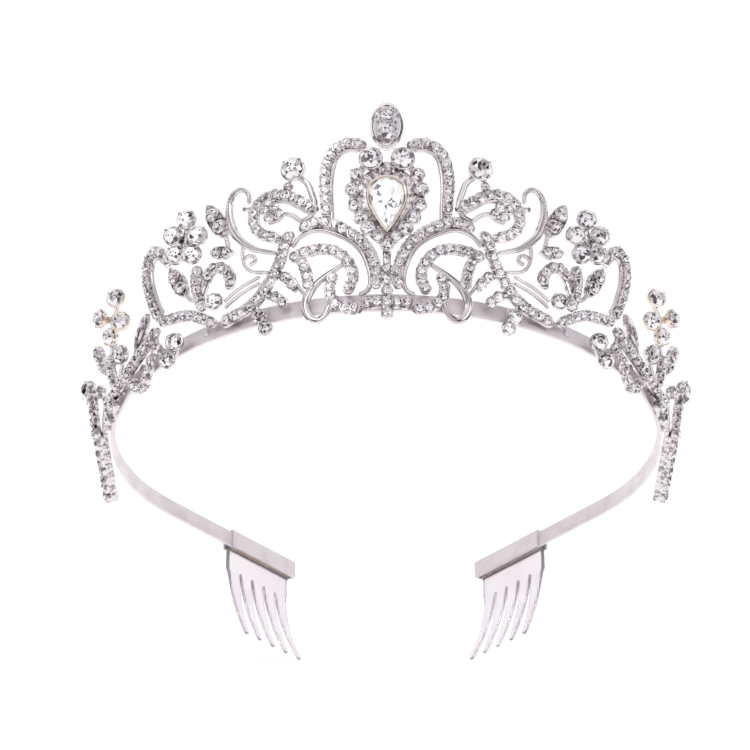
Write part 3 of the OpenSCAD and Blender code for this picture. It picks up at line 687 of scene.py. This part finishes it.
# Colours of the painted reflections on the stones' facets, from painted dark to painted highlight.
STONE_PAINTED_TONES = [
    (0.0, (0.02, 0.01, 0.02)), (0.3, (0.2, 0.17, 0.19)), (0.6, (0.8, 0.77, 0.79)), (0.85, (0.93, 0.92, 0.93)),
]
PEAR_PAINTED_TONES = [
    (0.0, (0.1, 0.1, 0.13)), (0.3, (0.4, 0.4, 0.45)), (0.55, (0.95, 0.95, 0.97)), (0.85, (1.0, 1.0, 1.0)),
]
PAPER_GLOW = 0.36
RELIEF_DEPTH = 0.0001
# The casting's fine, strongly dark mottling is painted sparkle: dark reflections painted into its colour.
SILVER = metal("silver_casting", (0.82, 0.783, 0.797), (0.3, 0.27, 0.285), 0.12, patch=750.0)
POLISHED = metal("silver_polished", (0.82, 0.785, 0.797), (0.66, 0.625, 0.642), 0.08, bump=0.04)
WARM = metal("silver_warm", (0.9, 0.83, 0.74), (0.74, 0.64, 0.56), 0.12)
STRIP = metal("silver_strip", (0.88, 0.835, 0.85), (0.82, 0.77, 0.79), 0.5, 500, 0.05)
SOLDER = metal("solder", (0.75, 0.72, 0.74), (0.5, 0.47, 0.5), 0.35)
# The stones glow faintly and the pear glows more: painted light, as neither is a lamp.
STONE = crystal("rhinestone", STONE_PAINTED_TONES, 0.5, 0.03)
PEAR = crystal("pear_crystal", PEAR_PAINTED_TONES, 0.15, 0.25)
PLASTIC = clear_plastic()
GLUE = glue()

# ---------- headband and combs ----------


def band_line(inset):
    """Plan of the strip from the left leg's end to the right leg's end, with its outward normals."""
    line, normals = [], []
    for a in np.radians(np.arange(0, 90, 2.0)):
        line.append([(FRONT_RADIUS - inset) * math.sin(a), -(FRONT_RADIUS - inset) * math.cos(a)])
        normals.append([math.sin(a), -math.cos(a)])
    bend = np.array([FRONT_RADIUS - SIDE_RADIUS, 0])
    for a in np.linspace(0, SIDE_TURN, 16):
        out = np.array([math.cos(a), math.sin(a)])
        line.append(bend + (SIDE_RADIUS - inset) * out)
        normals.append(out)
    along = np.array([-math.sin(SIDE_TURN), math.cos(SIDE_TURN)])
    start = line[-1]
    for far in np.linspace(4, LEG_LENGTH, 12):
        line.append(start + far * along)
        normals.append(normals[-1])
    line, normals = np.array(line), np.array(normals)
    flip = np.array([-1, 1])
    return np.vstack([line[:0:-1] * flip, line]), np.vstack([normals[:0:-1] * flip, normals])


def headband():
    """One flat spring strip with rounded edges."""
    piece = Piece()
    line, normals = band_line(BAND_THICKNESS / 2)
    section = oval(BAND_WIDTH, BAND_THICKNESS, 24, 4.5)
    rings = []
    for spot, out in zip(line, normals):
        plan = spot + out * section[:, 1:]
        rings.append(np.column_stack([plan, BAND_WIDTH / 2 + section[:, 0]]))
    piece.add(*loft(rings))
    piece.build("headband", [STRIP], 50)


def comb_channel(tag):
    """A folded sleeve, open below, with an end cap and two crimps pressed into its outer wall."""
    piece = Piece(tag)
    wall = CHANNEL_WALL
    deep = CHANNEL_INSIDE + 2 * wall
    high = BAND_WIDTH + wall
    bend = 0.45
    crimps, crimp_width, crimp_depth = (4.5, CHANNEL_LENGTH - 5), 0.7, 0.22
    corner = [(bend * (1 - math.cos(t)), bend * (1 - math.sin(t))) for t in np.radians([0, 30, 60, 90])]
    roof = [(c, high - s) for c, s in corner] + [(deep - c, high - s) for c, s in corner[::-1]]
    inner = [(deep - wall, 0), (deep - wall, high - wall), (wall, high - wall), (wall, 0)]
    section = np.array([(0, 0)] + roof + [(deep, 0)] + inner)
    rings = []
    for along in np.linspace(0, CHANNEL_LENGTH, 52):
        press = sum(math.exp(-((along - at) / crimp_width) ** 2) for at in crimps) * crimp_depth
        ring = section.copy()
        low = 1 - np.abs(ring[:, 1] / high - 0.45) * 1.6
        ring[:, 0] += np.where(ring[:, 0] < deep / 2, press, 0) * np.clip(low, 0, 1)
        rings.append(np.column_stack([np.full(len(ring), along), ring]))
    spot = at_leg() @ Matrix.Translation((CHANNEL_START, -CHANNEL_OUTSIDE - wall, 0))
    piece.placed(spot, loft(rings))
    plate = np.array([(wall * 0.2, 0.1)] + roof + [(deep - wall * 0.2, 0.1)])
    middle = plate.mean(axis=0)
    caps = [np.column_stack([np.full(len(plate), CHANNEL_LENGTH + x), middle + (plate - middle) * k])
            for k, x in ((0.96, -0.06), (1, 0.06), (1, wall - 0.12), (0.96, wall))]
    piece.placed(spot, loft(caps))
    piece.build("comb_channel", [STRIP], 40)


def gap_half(down, pitch):
    """Half the gap between two teeth at a depth below the root: a round top, then a widening slot."""
    top = GAP_TOP * pitch
    if down <= 0:
        return 0.0
    if down < top:
        return math.sqrt(top**2 - (top - down) ** 2)
    return top + (0.3 - GAP_TOP) * pitch * (down - top) / (TOOTH_LENGTH - top)


def tooth_half(down, pitch):
    """Half a tooth's width at a depth below the root, with a rounded tip."""
    half = pitch / 2 - gap_half(down, pitch)
    tip = 0.2 * pitch
    left = TOOTH_LENGTH - down
    if left < tip:
        half = min(half, math.sqrt(max(tip**2 - (tip - left) ** 2, 0.0)))
    return half


def side_comb(tag):
    """One clear moulding: a spine, a scalloped root and five tapered teeth that curve in."""
    piece = Piece(tag)
    pitch = COMB_LENGTH / COMB_TEETH
    columns = 10
    root_levels = [-SPINE_HEIGHT, -SPINE_HEIGHT + 0.3, -1.5, 0] + list(np.linspace(0.7, COMB_ROOT, 10))
    top = GAP_TOP * pitch
    slot_top = [top * (1 - math.cos(t)) for t in np.linspace(0.35, math.pi / 2, 5)]
    shank = list(np.linspace(1.6, TOOTH_LENGTH - 1, 22))
    tip = [TOOTH_LENGTH - 0.96 * (1 - math.sin(t)) for t in np.linspace(0.1, math.pi / 2 - 0.12, 6)]
    levels = root_levels + [COMB_ROOT + down for down in slot_top + shank + tip]
    deep = COMB_ROOT + TOOTH_LENGTH

    def surface(k, s, level, face):
        """A point of tooth k: s runs across it from -1 to 1, and face is -1 outside and 1 inside."""
        down = level - COMB_ROOT
        half = tooth_half(down, pitch)
        x = (k + 0.5) * pitch + s * half + k * TOOTH_LEAN * max(down / TOOTH_LENGTH, 0) ** 2
        slide = TOOTH_CURVE * max(level / deep, 0) ** 2
        slide -= TOOTH_CURVE * (COMB_ROOT / deep) ** 2 * min(max(level, 0) / COMB_ROOT, 1)
        thick = COMB_THICKNESS * (1 - 0.3 * min(max(down / TOOTH_LENGTH, 0), 1))
        into = min(max(down / 2, 0), 1)
        full = 1 - into * 0.35 * s**4
        ridge = 0.0
        if 0 < level < COMB_ROOT + 1:
            nearest = abs(abs(s) - 1) * half
            ring = math.hypot(nearest, level - COMB_ROOT - 0.2)
            ridge = 0.22 * math.exp(-((ring - 1.35) / 0.3) ** 2)
        y = slide + thick / 2 + face * (thick / 2 * full - 0.12 + ridge * 0.5)
        return x, y, -level

    points, faces, index = [], [], {}

    def vertex(k, j, i, face):
        key = (k, j, i, face)
        if i < len(root_levels) and j == columns and k < COMB_TEETH - 1:
            key = (k + 1, 0, i, face)
        if key not in index:
            s = -1 + 2 * key[1] / columns
            index[key] = len(points)
            points.append(surface(key[0], s, levels[i], face))
        return index[key]

    for k in range(COMB_TEETH):
        for i in range(len(levels) - 1):
            for j in range(columns):
                for face in (-1, 1):
                    faces.append((vertex(k, j, i, face), vertex(k, j + 1, i, face),
                                  vertex(k, j + 1, i + 1, face), vertex(k, j, i + 1, face)))
            for j, edge in ((0, k == 0), (columns, k == COMB_TEETH - 1)):
                if i >= len(root_levels) - 1 or edge:
                    faces.append((vertex(k, j, i, -1), vertex(k, j, i + 1, -1),
                                  vertex(k, j, i + 1, 1), vertex(k, j, i, 1)))
        for i in (0, len(levels) - 1):
            for j in range(columns):
                faces.append((vertex(k, j, i, -1), vertex(k, j + 1, i, -1),
                              vertex(k, j + 1, i, 1), vertex(k, j, i, 1)))
    spot = at_leg() @ Matrix.Translation((CHANNEL_START + COMB_INSET, -COMB_THICKNESS - 0.15, 0))
    piece.placed(spot, (np.array(points), faces))
    piece.build("side_comb", [PLASTIC], 40)


def comb_adhesive(tag):
    """A squeezed line of adhesive, a little uneven along its length."""
    piece = Piece(tag)
    rng = np.random.default_rng(31)
    section = oval(BAND_THICKNESS * 0.7, 0.26, 12, 3)
    rings = []
    for along in np.linspace(0.2, COMB_LENGTH - 0.2, 60):
        swell = 0.86 + 0.14 * rng.random()
        rings.append(np.column_stack([np.full(len(section), along), section * swell]))
    spot = at_leg() @ Matrix.Translation((CHANNEL_START + COMB_INSET, BAND_THICKNESS / 2 - 0.1, -0.22))
    piece.placed(spot, loft(rings))
    piece.build("comb_adhesive", [GLUE], 60)


def solder_joints():
    """Uneven pads of solder between the strip and the castings."""
    piece = Piece()
    rng = np.random.default_rng(5)
    height = 2.6
    start = -1 - height * math.tan(FLARE)
    tall = -start - CASTING / 2
    for side in (-1, 1):
        for u in SOLDER_PLACES:
            if u > 0 or side > 0:
                wide = 0.95 + 0.15 * rng.random()
                pad = revolved([(0, 0), (wide, 0), (wide * 1.02, tall * 0.2), (wide * 0.8, tall * 0.5),
                                (wide * 1.02, tall * 0.9), (wide, tall), (0, tall)], 18)
                piece.placed(at_front((side * u, height), start), pad)
    piece.build("solder_joints", [SOLDER], 50)


# ---------- castings ----------


def stone_ribbon(piece, path, layer=BACK, widths=(1, 1, 1)):
    """The broad cast strip that carries a row of stones."""
    sweep(piece, path, oval(RIBBON, CASTING * 0.94, 12, 3), layer, widths)


def plain_wire(piece, path, layer=BACK, widths=(1, 1, 1), look=1):
    """A round polished wire."""
    sweep(piece, path, oval(WIRE * 1.1, WIRE * 1.1, 12), layer, widths, look, 0.4)


def loose_seats(spec):
    """Seats of a casting's stones that aren't in a row."""
    return spec.get("stones", []) + [seat for item in spec.get("leaves", []) for seat in item[3]]


def draw_casting(piece, spec):
    """Draws a casting from its list of ribbons, wires, leaves, beads and seats."""
    for item in spec.get("ribbons", []):
        stone_ribbon(piece, *item)
    for item in spec.get("wires", []):
        plain_wire(piece, *item)
    for item in spec.get("leaves", []):
        leaf(piece, *item)
    for path, skip, layer in spec.get("rows", []):
        set_row(piece, places(path[skip:], ROW_PITCH), layer)
    for place, d, layer in loose_seats(spec):
        set_cup(piece, place, d, layer)
    for line in spec.get("beads", []):
        beads(piece, *line)


def draw_stones(piece, spec, rng):
    """Draws a casting's stones, those in rows first."""
    seats = []
    for path, skip, layer in spec.get("rows", []):
        seats += [(place, ROW_STONE, layer) for place in places(path[skip:], ROW_PITCH)]
    set_stones(piece, seats + loose_seats(spec), rng, spec.get("painted_dark", PAINTED_DARK_SHARE))


# Each casting of one side: its stones' name, then what it is made of. Ribbons and wires are (path,
# layer, widths), leaves (start, end, width, seats), rows (path, points skipped, layer), stones (place,
# diameter, layer), beads (path, pitch, size, lift), bosses (place, diameter), and the share of facets painted
# dark.
SCROLLS = {
    "inner_scroll": ("inner_scroll_stones", {
        "ribbons": [(SCROLL_CURL,), (SCROLL_STRAND, BACK, (0.8, 1, 1)), (SCROLL_HOOK, BACK, (0.9, 1, 0.9))],
        "wires": [(SCROLL_LOOP, BACK, (1, 1.8, 1.4)), (SCROLL_SPUR, BACK, (0.8, 0.8, 0.8))],
        "rows": [(SCROLL_CURL, 0, BACK), (SCROLL_STRAND, 0, BACK), (SCROLL_HOOK, 1, BACK)],
    }),
    "spiral_curl": ("spiral_stones", {
        "ribbons": [(SPIRAL_CURL,)],
        "wires": [(SPIRAL_EDGE,), (SPIRAL_WIRE,), (SPIRAL_STEM, BACK, (1.2, 1.3, 1.3)),
                  ([[31, 29.4], [33, 29.9]],)],
        "rows": [(SPIRAL_CURL, 0, BACK)],
        "stones": [([20.7, 37], 5.4, BACK)] + [(place, ROW_STONE, BACK) for place in SPIRAL_CLUSTER],
        "bosses": [([22.3, 33.2], 2.6), ([33, 29.9], 1.3)],
    }),
    "lower_strand": ("lower_strand_stones", {
        "ribbons": [(LOWER_PATH, BACK, (1, 1, 1.25)), (LOWER_LEAF, BACK, (0.8, 1, 0.5)),
                    (LOWER_CURL, BACK, (0.8, 1, 0.6))],
        "wires": [([[29, -2.2], [30.5, 0.9], [31.6, 5]],)],
        "rows": [(LOWER_PATH, 0, BACK)],
        "stones": [([23.6, 9.7], 2.1, BACK), ([22, 7.6], 2.1, BACK), ([26.2, 5.2], 2.1, BACK),
                   ([24.4, 3.4], 2.1, BACK), ([30.5, 0.9], 3.4, BACK), ([29, -2.3], 3, BACK)],
    }),
    "feather_wire": (None, {
        "wires": [(FEATHER_PATH, BACK, (0.8, 1.9, 0.9)), (FEATHER_BEADS, BACK, (0.8, 0.8, 0.8)),
                  (FEATHER_CURL, BACK, (0.8, 0.8, 1))],
        "beads": [(FEATHER_BEADS, 0.8, 0.62, 0.35), (FEATHER_PATH, 0.9, 0.5, 0.45)],
    }),
    "leaf_spray": ("leaf_stones", {
        "leaves": [([42.9, 34.2], [38.2, 24], 4.7, [([41.2, 30.8], 3.2, BACK), ([39.6, 27.2], 3, BACK)]),
                   ([43, 21.4], [36.4, 19.6], 3.2, [([40.8, 20.7], 2.4, BACK), ([38, 20], 2.2, BACK)])],
        "wires": [(LEAF_STEM,)],
        "beads": [(LEAF_STEM, 1.2, 1.2, 0.2)],
    }),
    "side_arch": ("side_arch_stones", {
        "painted_dark": 0.32,
        "ribbons": [(ARCH_PATH,), (ARCH_BASE,)],
        "wires": [(ARCH_EDGE,)],
        "rows": [(ARCH_PATH, 1, BACK), (ARCH_BASE, 0, BACK)],
    }),
    "inner_branch": ("inner_branch_stones", {
        "painted_dark": 0.3,
        "ribbons": [(BRANCH_STEM, BACK, (1, 1.3, 1)), (BRANCH_CURL,)],
        "wires": [([[51.2, 13.8], [49.4, 11.4], [47.4, 11.6]],), ([[42, 7.8], [44.4, 9.6], [46.4, 10.4]],)],
        "leaves": [([55.4, 22.4], [50.6, 12.6], 4.2, [([53.7, 19], 3, BACK), ([52.1, 15.6], 2.8, BACK)])],
        "rows": [(BRANCH_STEM, 0, BACK), (BRANCH_CURL, 1, BACK)],
        "stones": [([42, 7.8, 25], 3.6, TURNED)],
    }),
    "side_wing": ("side_wing_stones", {
        "painted_dark": 0.36,
        "ribbons": [(WING_STRAND, BACK, (1, 1.2, 1)), (WING_STEM, BACK, (0.9, 1, 1)),
                    (WING_LOOP, BACK, (0.8, 1, 0.8))],
        "wires": [([[91.6, 12], [89, 8.4], [86.2, 5]],), ([[71, 8.2], [72.4, 6.4], [73.4, 4.4]],),
                  ([[77.6, 9.4], [81, 6.4], [84, 3]],), ([[87, 0.4], [91.4, -0.8], [92, 3]],),
                  ([[54.8, 1.8], [57.8, -1.6], [61.6, 3.2], [62.8, 7]],)],
        "leaves": [([98, 23.4], [91, 11], 3.8, [([96.4, 20.4], 2.8, BACK), ([94.6, 17.3], 2.6, BACK),
                                               ([93, 14.4], 2.4, BACK)]),
                   ([64.8, 14.4], [71.6, 7.6], 3.6, [])],
        "rows": [(WING_STRAND, 0, BACK), (WING_STEM, 1, BACK),
                 ([[65, 2], [67.6, -1.8], [69.8, -3.2], [72.2, -2.4], [73.6, -0.4]], 0, BACK)],
        "stones": [([77.6, 9.4], 4.4, BACK), ([61.6, 3.2], 2.8, BACK), ([87, 0.2], 3.2, BACK),
                   ([91.4, -1], 3, BACK), ([54.8, 1.8, 30], 4, TURNED), ([57.8, -1.8, 30], 3.6, TURNED)],
    }),
    "tail_spray": ("tail_stones", {
        "painted_dark": 0.46,
        "ribbons": [(TAIL_CHAIN, FRONT, (0.9, 0.8, 1)), (TAIL_PATH, TAIL, (1.2, 1.3, 1.1))],
        "wires": [(TAIL_BRANCH,)],
        "stones": [([109.1, 11.6], 2.9, FRONT), ([109.1, 8], 2.9, FRONT), ([109.1, 4.4], 2.9, FRONT),
                   ([108.6, 16.5], 5.6, FRONT), ([98.2, 10.2], 3, BACK)]
                  + [(list(place), 3.4, TAIL) for place in places(TAIL_ROW, 4.4)],
    }),
}


def scrollwork(tag):
    """One side's castings and their stones."""
    for number, (name, (stones, spec)) in enumerate(SCROLLS.items()):
        piece = Piece(tag)
        draw_casting(piece, spec)
        for place, d in spec.get("bosses", []):
            piece.placed(at_front(place, BACK), dome(d / 2, d * 0.45, 0.1, 14))
        if name == "tail_spray":
            sweep(piece, TAIL_PLATE, oval(RIBBON, CASTING * 0.9, 16, 6), BACK, (0.9, 1.2, 1.1))
        piece.build(name, [SILVER, POLISHED])
        if stones:
            piece = Piece(tag)
            draw_stones(piece, spec, np.random.default_rng(100 * number + piece.side + 10))
            piece.build(stones, [STONE], 0)


def cross_wires(tag):
    """Two plain parallel wires."""
    piece = Piece(tag)
    for shift in (-0.8, 0.8):
        run = [[u, z + shift] for u, z in ([30.5, 10.6], [34, 9.6], [37, 8.4], [39.6, 7.1])]
        plain_wire(piece, run, BACK, (0.7, 0.7, 0.7), 0)
    piece.build("cross_wires", [POLISHED])


def petal_layer(place):
    """A turned petal stands further out, so that its far side clears what lies behind."""
    return FRONT + PETAL_STONE / 4 * math.sin(math.radians(place[2]))


def flower(name, petals, heart, tag, warm):
    """Cups joined at the heart by short arms, with a domed boss among grains."""
    piece = Piece(tag)
    piece.placed(at_front(heart, FRONT), dome(1.5, 0.8, -0.2, 16), warm)
    for k in range(6):
        a = k * math.pi / 3
        spot = [heart[0] + 1.15 * math.cos(a), heart[1] + 1.15 * math.sin(a)]
        piece.placed(at_front(spot, FRONT), dome(0.4, 0.55, 0.15))
    for place in petals:
        sweep(piece, [heart, [(heart[0] + place[0]) / 2, (heart[1] + place[1]) / 2], place[:2]],
              oval(1.8, 1.1, 12, 3), FRONT, look=warm)
        set_cup(piece, place, PETAL_STONE, petal_layer(place), warm)
    piece.build(name, [SILVER, WARM])
    piece = Piece(tag)
    seats = [(place, PETAL_STONE, petal_layer(place)) for place in petals]
    set_stones(piece, seats, np.random.default_rng(int(heart[0]) + piece.side))
    piece.build(name + "_stones", [STONE], 0)


def center_crown():
    """The heart-shaped crown arch, the lower arches, the column and the foot."""
    piece = Piece()
    seats = []
    for way in (1, -1):
        for path, edge in ((CROWN_ARCH, CROWN_WIRE), (CROWN_STRAND, CROWN_EDGE)):
            run = np.array(path) * [way, 1]
            stone_ribbon(piece, run)
            plain_wire(piece, np.array(edge) * [way, 1])
            row = places(run, ROW_PITCH)
            set_row(piece, row, BACK)
            seats += [(place, ROW_STONE, BACK) for place in row]
    stone_ribbon(piece, CROWN_COLUMN, BACK, (0.8, 0.6, 1.2))
    stone_ribbon(piece, CROWN_FOOT)
    singles = [([0, z], d, BACK) for z, d in ((9.6, 2.1), (4, 2.1), (-1.4, 2.1), (6.9, 2.7))]
    singles += [([u, 1.3], 2.1, BACK) for u in (-4.6, -2.3, 0, 2.3, 4.6)]
    for place, d, layer in singles:
        set_cup(piece, place, d, layer)
    piece.build("center_crown", [SILVER, POLISHED])
    piece = Piece()
    set_stones(piece, seats + singles, np.random.default_rng(3))
    piece.build("crown_stones", [STONE], 0)


def finial():
    """A pointed oval bezel: smooth raised rim, recessed floor, two stones among grains."""
    piece = Piece()
    levels = [(11.6, 8.3, -0.7), (12.4, 9.1, -0.4), (12.4, 9.1, 0.9), (12, 8.7, 1.32), (11.4, 8.1, 1.4),
              (10.9, 7.6, 1.2), (10.7, 7.4, 0.75)]
    piece.placed(at_front(FINIAL_PLACE, FRONT), loft(stacked(finial_outline, levels)), 1)
    seats = [([0, 48.7], 3.0, FRONT), ([0, 44.4], 4.6, FRONT)]
    for place, d, layer in seats:
        set_cup(piece, place, d, layer)
    for u, z in ((0, 50.8), (1.9, 47), (-1.9, 47), (2.2, 42.2), (-2.2, 42.2), (1.2, 41.2), (-1.2, 41.2),
                 (1.7, 50), (-1.7, 50), (2.3, 48.6), (-2.3, 48.6)):
        piece.placed(at_front((u, z), FRONT), dome(0.45, 0.5, 0.75))
    piece.build("finial_bezel", [SILVER, POLISHED])
    piece = Piece()
    set_stones(piece, seats, np.random.default_rng(12), 0.12)
    piece.build("finial_stones", [STONE], 0)


def pear():
    """The pear bezel: a plate, a thin warm rim on it, and a halo of cups round the pear stone."""
    piece = Piece()
    plate = [(19.4, 14, -0.7), (20.3, 14.8, -0.45), (20.3, 14.8, -0.1), (19.6, 14.2, 0)]
    rim = [(15.4, 10.2, -0.1), (15.4, 10.2, 1.0), (15, 9.8, 1.38), (14.3, 9.2, 1.4), (13.6, 8.5, 1.2),
           (13.4, 8.3, 0.7)]
    for levels, look in ((plate, 0), (rim, 1)):
        piece.placed(at_front(PEAR_PLACE, FRONT), loft(stacked(pear_outline, levels)), look)
    seats = [([0, 14.9], 2.6, FRONT)]
    for way in (1, -1):
        seats += [([way * u, z], 2.9, FRONT) for u, z in HALO_PLACES]
        seats += [([way * 3.4, 37.2], 5.2, FRONT), ([way * 2, 17.2], 2.2, FRONT)]
        sweep(piece, [[way * u, z] for u, z in HALO_RING], oval(1.6, 1.2, 12, 3), FRONT)
    sweep(piece, [[-4.2, 19.3], [0, 15.6], [4.2, 19.3]], oval(1.8, 1.2, 12, 3), FRONT)
    piece.placed(at_front([0, 34.6], FRONT), dome(2.4, 1.0, 0, 18))
    for long, wide, count in ((16.6, 11.4, 30), (18.6, 13.2, 34)):
        for u, z in pear_outline(long, wide, count):
            piece.placed(at_front([u, z + PEAR_PLACE[1]], FRONT), dome(0.48, 0.6, -0.05))
    for place, d, layer in seats:
        set_cup(piece, place, d, layer)
    piece.build("pear_bezel", [SILVER, WARM])
    rng = np.random.default_rng(21)
    piece = Piece()
    set_stones(piece, seats, rng)
    piece.build("halo_stones", [STONE], 0)
    piece = Piece()
    pear_crystal(piece, rng)
    piece.build("pear_stone", [PEAR], 0)


# ---------- stage, in metres ----------

STAGE_HALF = 3.0
STAGE_BELOW = 0.0002
SWEEP_START = 0.6
SWEEP_RADIUS = 0.5
WALL_HEIGHT = 3.0
LAMP_AIM = (0, 0, 0.02)
CAMERA_PLACE = (-0.0028, -0.700, 0.01986)
CAMERA_LENS = 131.8
SENSOR_WIDTH = 36
TENT_TINT = 0.985
# Brightness of the white tent upwards from the horizon, and from left to right. Dips are gaps in it.
TENT = {
    "Z": [(0.5, 0.35), (0.54, 0.1), (0.6, 0.45), (0.66, 1.0), (0.73, 1.0), (0.78, 0.25), (0.83, 0.95),
          (1.0, 0.95)],
    "X": [(0.0, 0.95), (0.15, 1.0), (0.24, 0.08), (0.32, 1.0), (0.5, 1.0), (0.68, 1.0), (0.76, 0.08),
          (0.85, 1.0), (1.0, 0.95)],
}


def stage():
    """A pale sweep of floor and wall, which stands just under the comb tips."""
    low = cad_box[0][2] - STAGE_BELOW
    profile = [(-STAGE_HALF, 0.0), (SWEEP_START, 0.0)]
    profile += [(SWEEP_START + SWEEP_RADIUS * math.sin(t), SWEEP_RADIUS * (1 - math.cos(t)))
                for t in np.radians(np.arange(15, 91, 15))]
    profile += [(SWEEP_START + SWEEP_RADIUS, WALL_HEIGHT)]
    points, faces = [], []
    for y, z in profile:
        points += [(-STAGE_HALF, y, low + z), (STAGE_HALF, y, low + z)]
    for i in range(len(profile) - 1):
        a = 2 * i
        faces.append((a, a + 1, a + 3, a + 2))
    mesh = bpy.data.meshes.new("backdrop")
    mesh.from_pydata(points, [], faces)
    mesh.materials.append(studio_paper())
    mesh.shade_smooth()
    in_scene("backdrop", mesh)


def lamp(name, place, size, power):
    """A square soft lamp aimed at the tiara."""
    light = bpy.data.lights.new(name, "AREA")
    light.shape = "RECTANGLE"
    light.size, light.size_y = size, size
    light.energy = power
    thing = in_scene(name, light)
    thing.location = place
    heading = Vector(LAMP_AIM) - Vector(place)
    thing.rotation_euler = heading.to_track_quat("-Z", "Y").to_euler()


def studio():
    """A white tent with darker gaps between its panels, as in a jewellery studio."""
    world = bpy.data.worlds.new("studio")
    world.use_nodes = True
    tree = world.node_tree
    spot = tree.nodes.new("ShaderNodeTexCoord")
    split = tree.nodes.new("ShaderNodeSeparateXYZ")
    feed(tree, split, {0: spot.outputs["Generated"]})
    panels = []
    for axis, stops in TENT.items():
        half = calc(tree, "MULTIPLY_ADD", split.outputs[axis], 0.5, 0.5)
        panels.append(ramp(tree, half, [(place, (v, v * TENT_TINT, v)) for place, v in stops]))
    mix = tree.nodes.new("ShaderNodeMix")
    mix.data_type = "RGBA"
    mix.blend_type = "MULTIPLY"
    mix.inputs["Factor"].default_value = 1.0
    tree.links.new(panels[0], mix.inputs["A"])
    tree.links.new(panels[1], mix.inputs["B"])
    feed(tree, tree.nodes["Background"], {"Color": mix.outputs["Result"], "Strength": 1.0})
    bpy.context.scene.world = world
    bpy.context.scene.view_settings.view_transform = "Standard"
    lamp("key", (-0.7, -1.0, 1.1), 0.5, 1.1)
    lamp("fill", (0.9, -0.8, 0.7), 0.4, 0.6)


def camera():
    """The photograph's level view from the front."""
    lens = bpy.data.cameras.new("camera")
    lens.lens = CAMERA_LENS
    lens.sensor_width = SENSOR_WIDTH
    lens.clip_start = 0.01
    view = in_scene("camera", lens)
    view.location = CAMERA_PLACE
    view.rotation_euler = (math.pi / 2, 0, 0)
    bpy.context.scene.camera = view


headband()
solder_joints()
center_crown()
finial()
pear()
for tag in ("right", "left"):
    comb_channel(tag)
    side_comb(tag)
    comb_adhesive(tag)
    scrollwork(tag)
    cross_wires(tag)
    flower("front_flower", FRONT_PETALS, FRONT_HEART, tag, 0)
    flower("side_flower", SIDE_PETALS, SIDE_HEART, tag, 1)
stage()
studio()
camera()
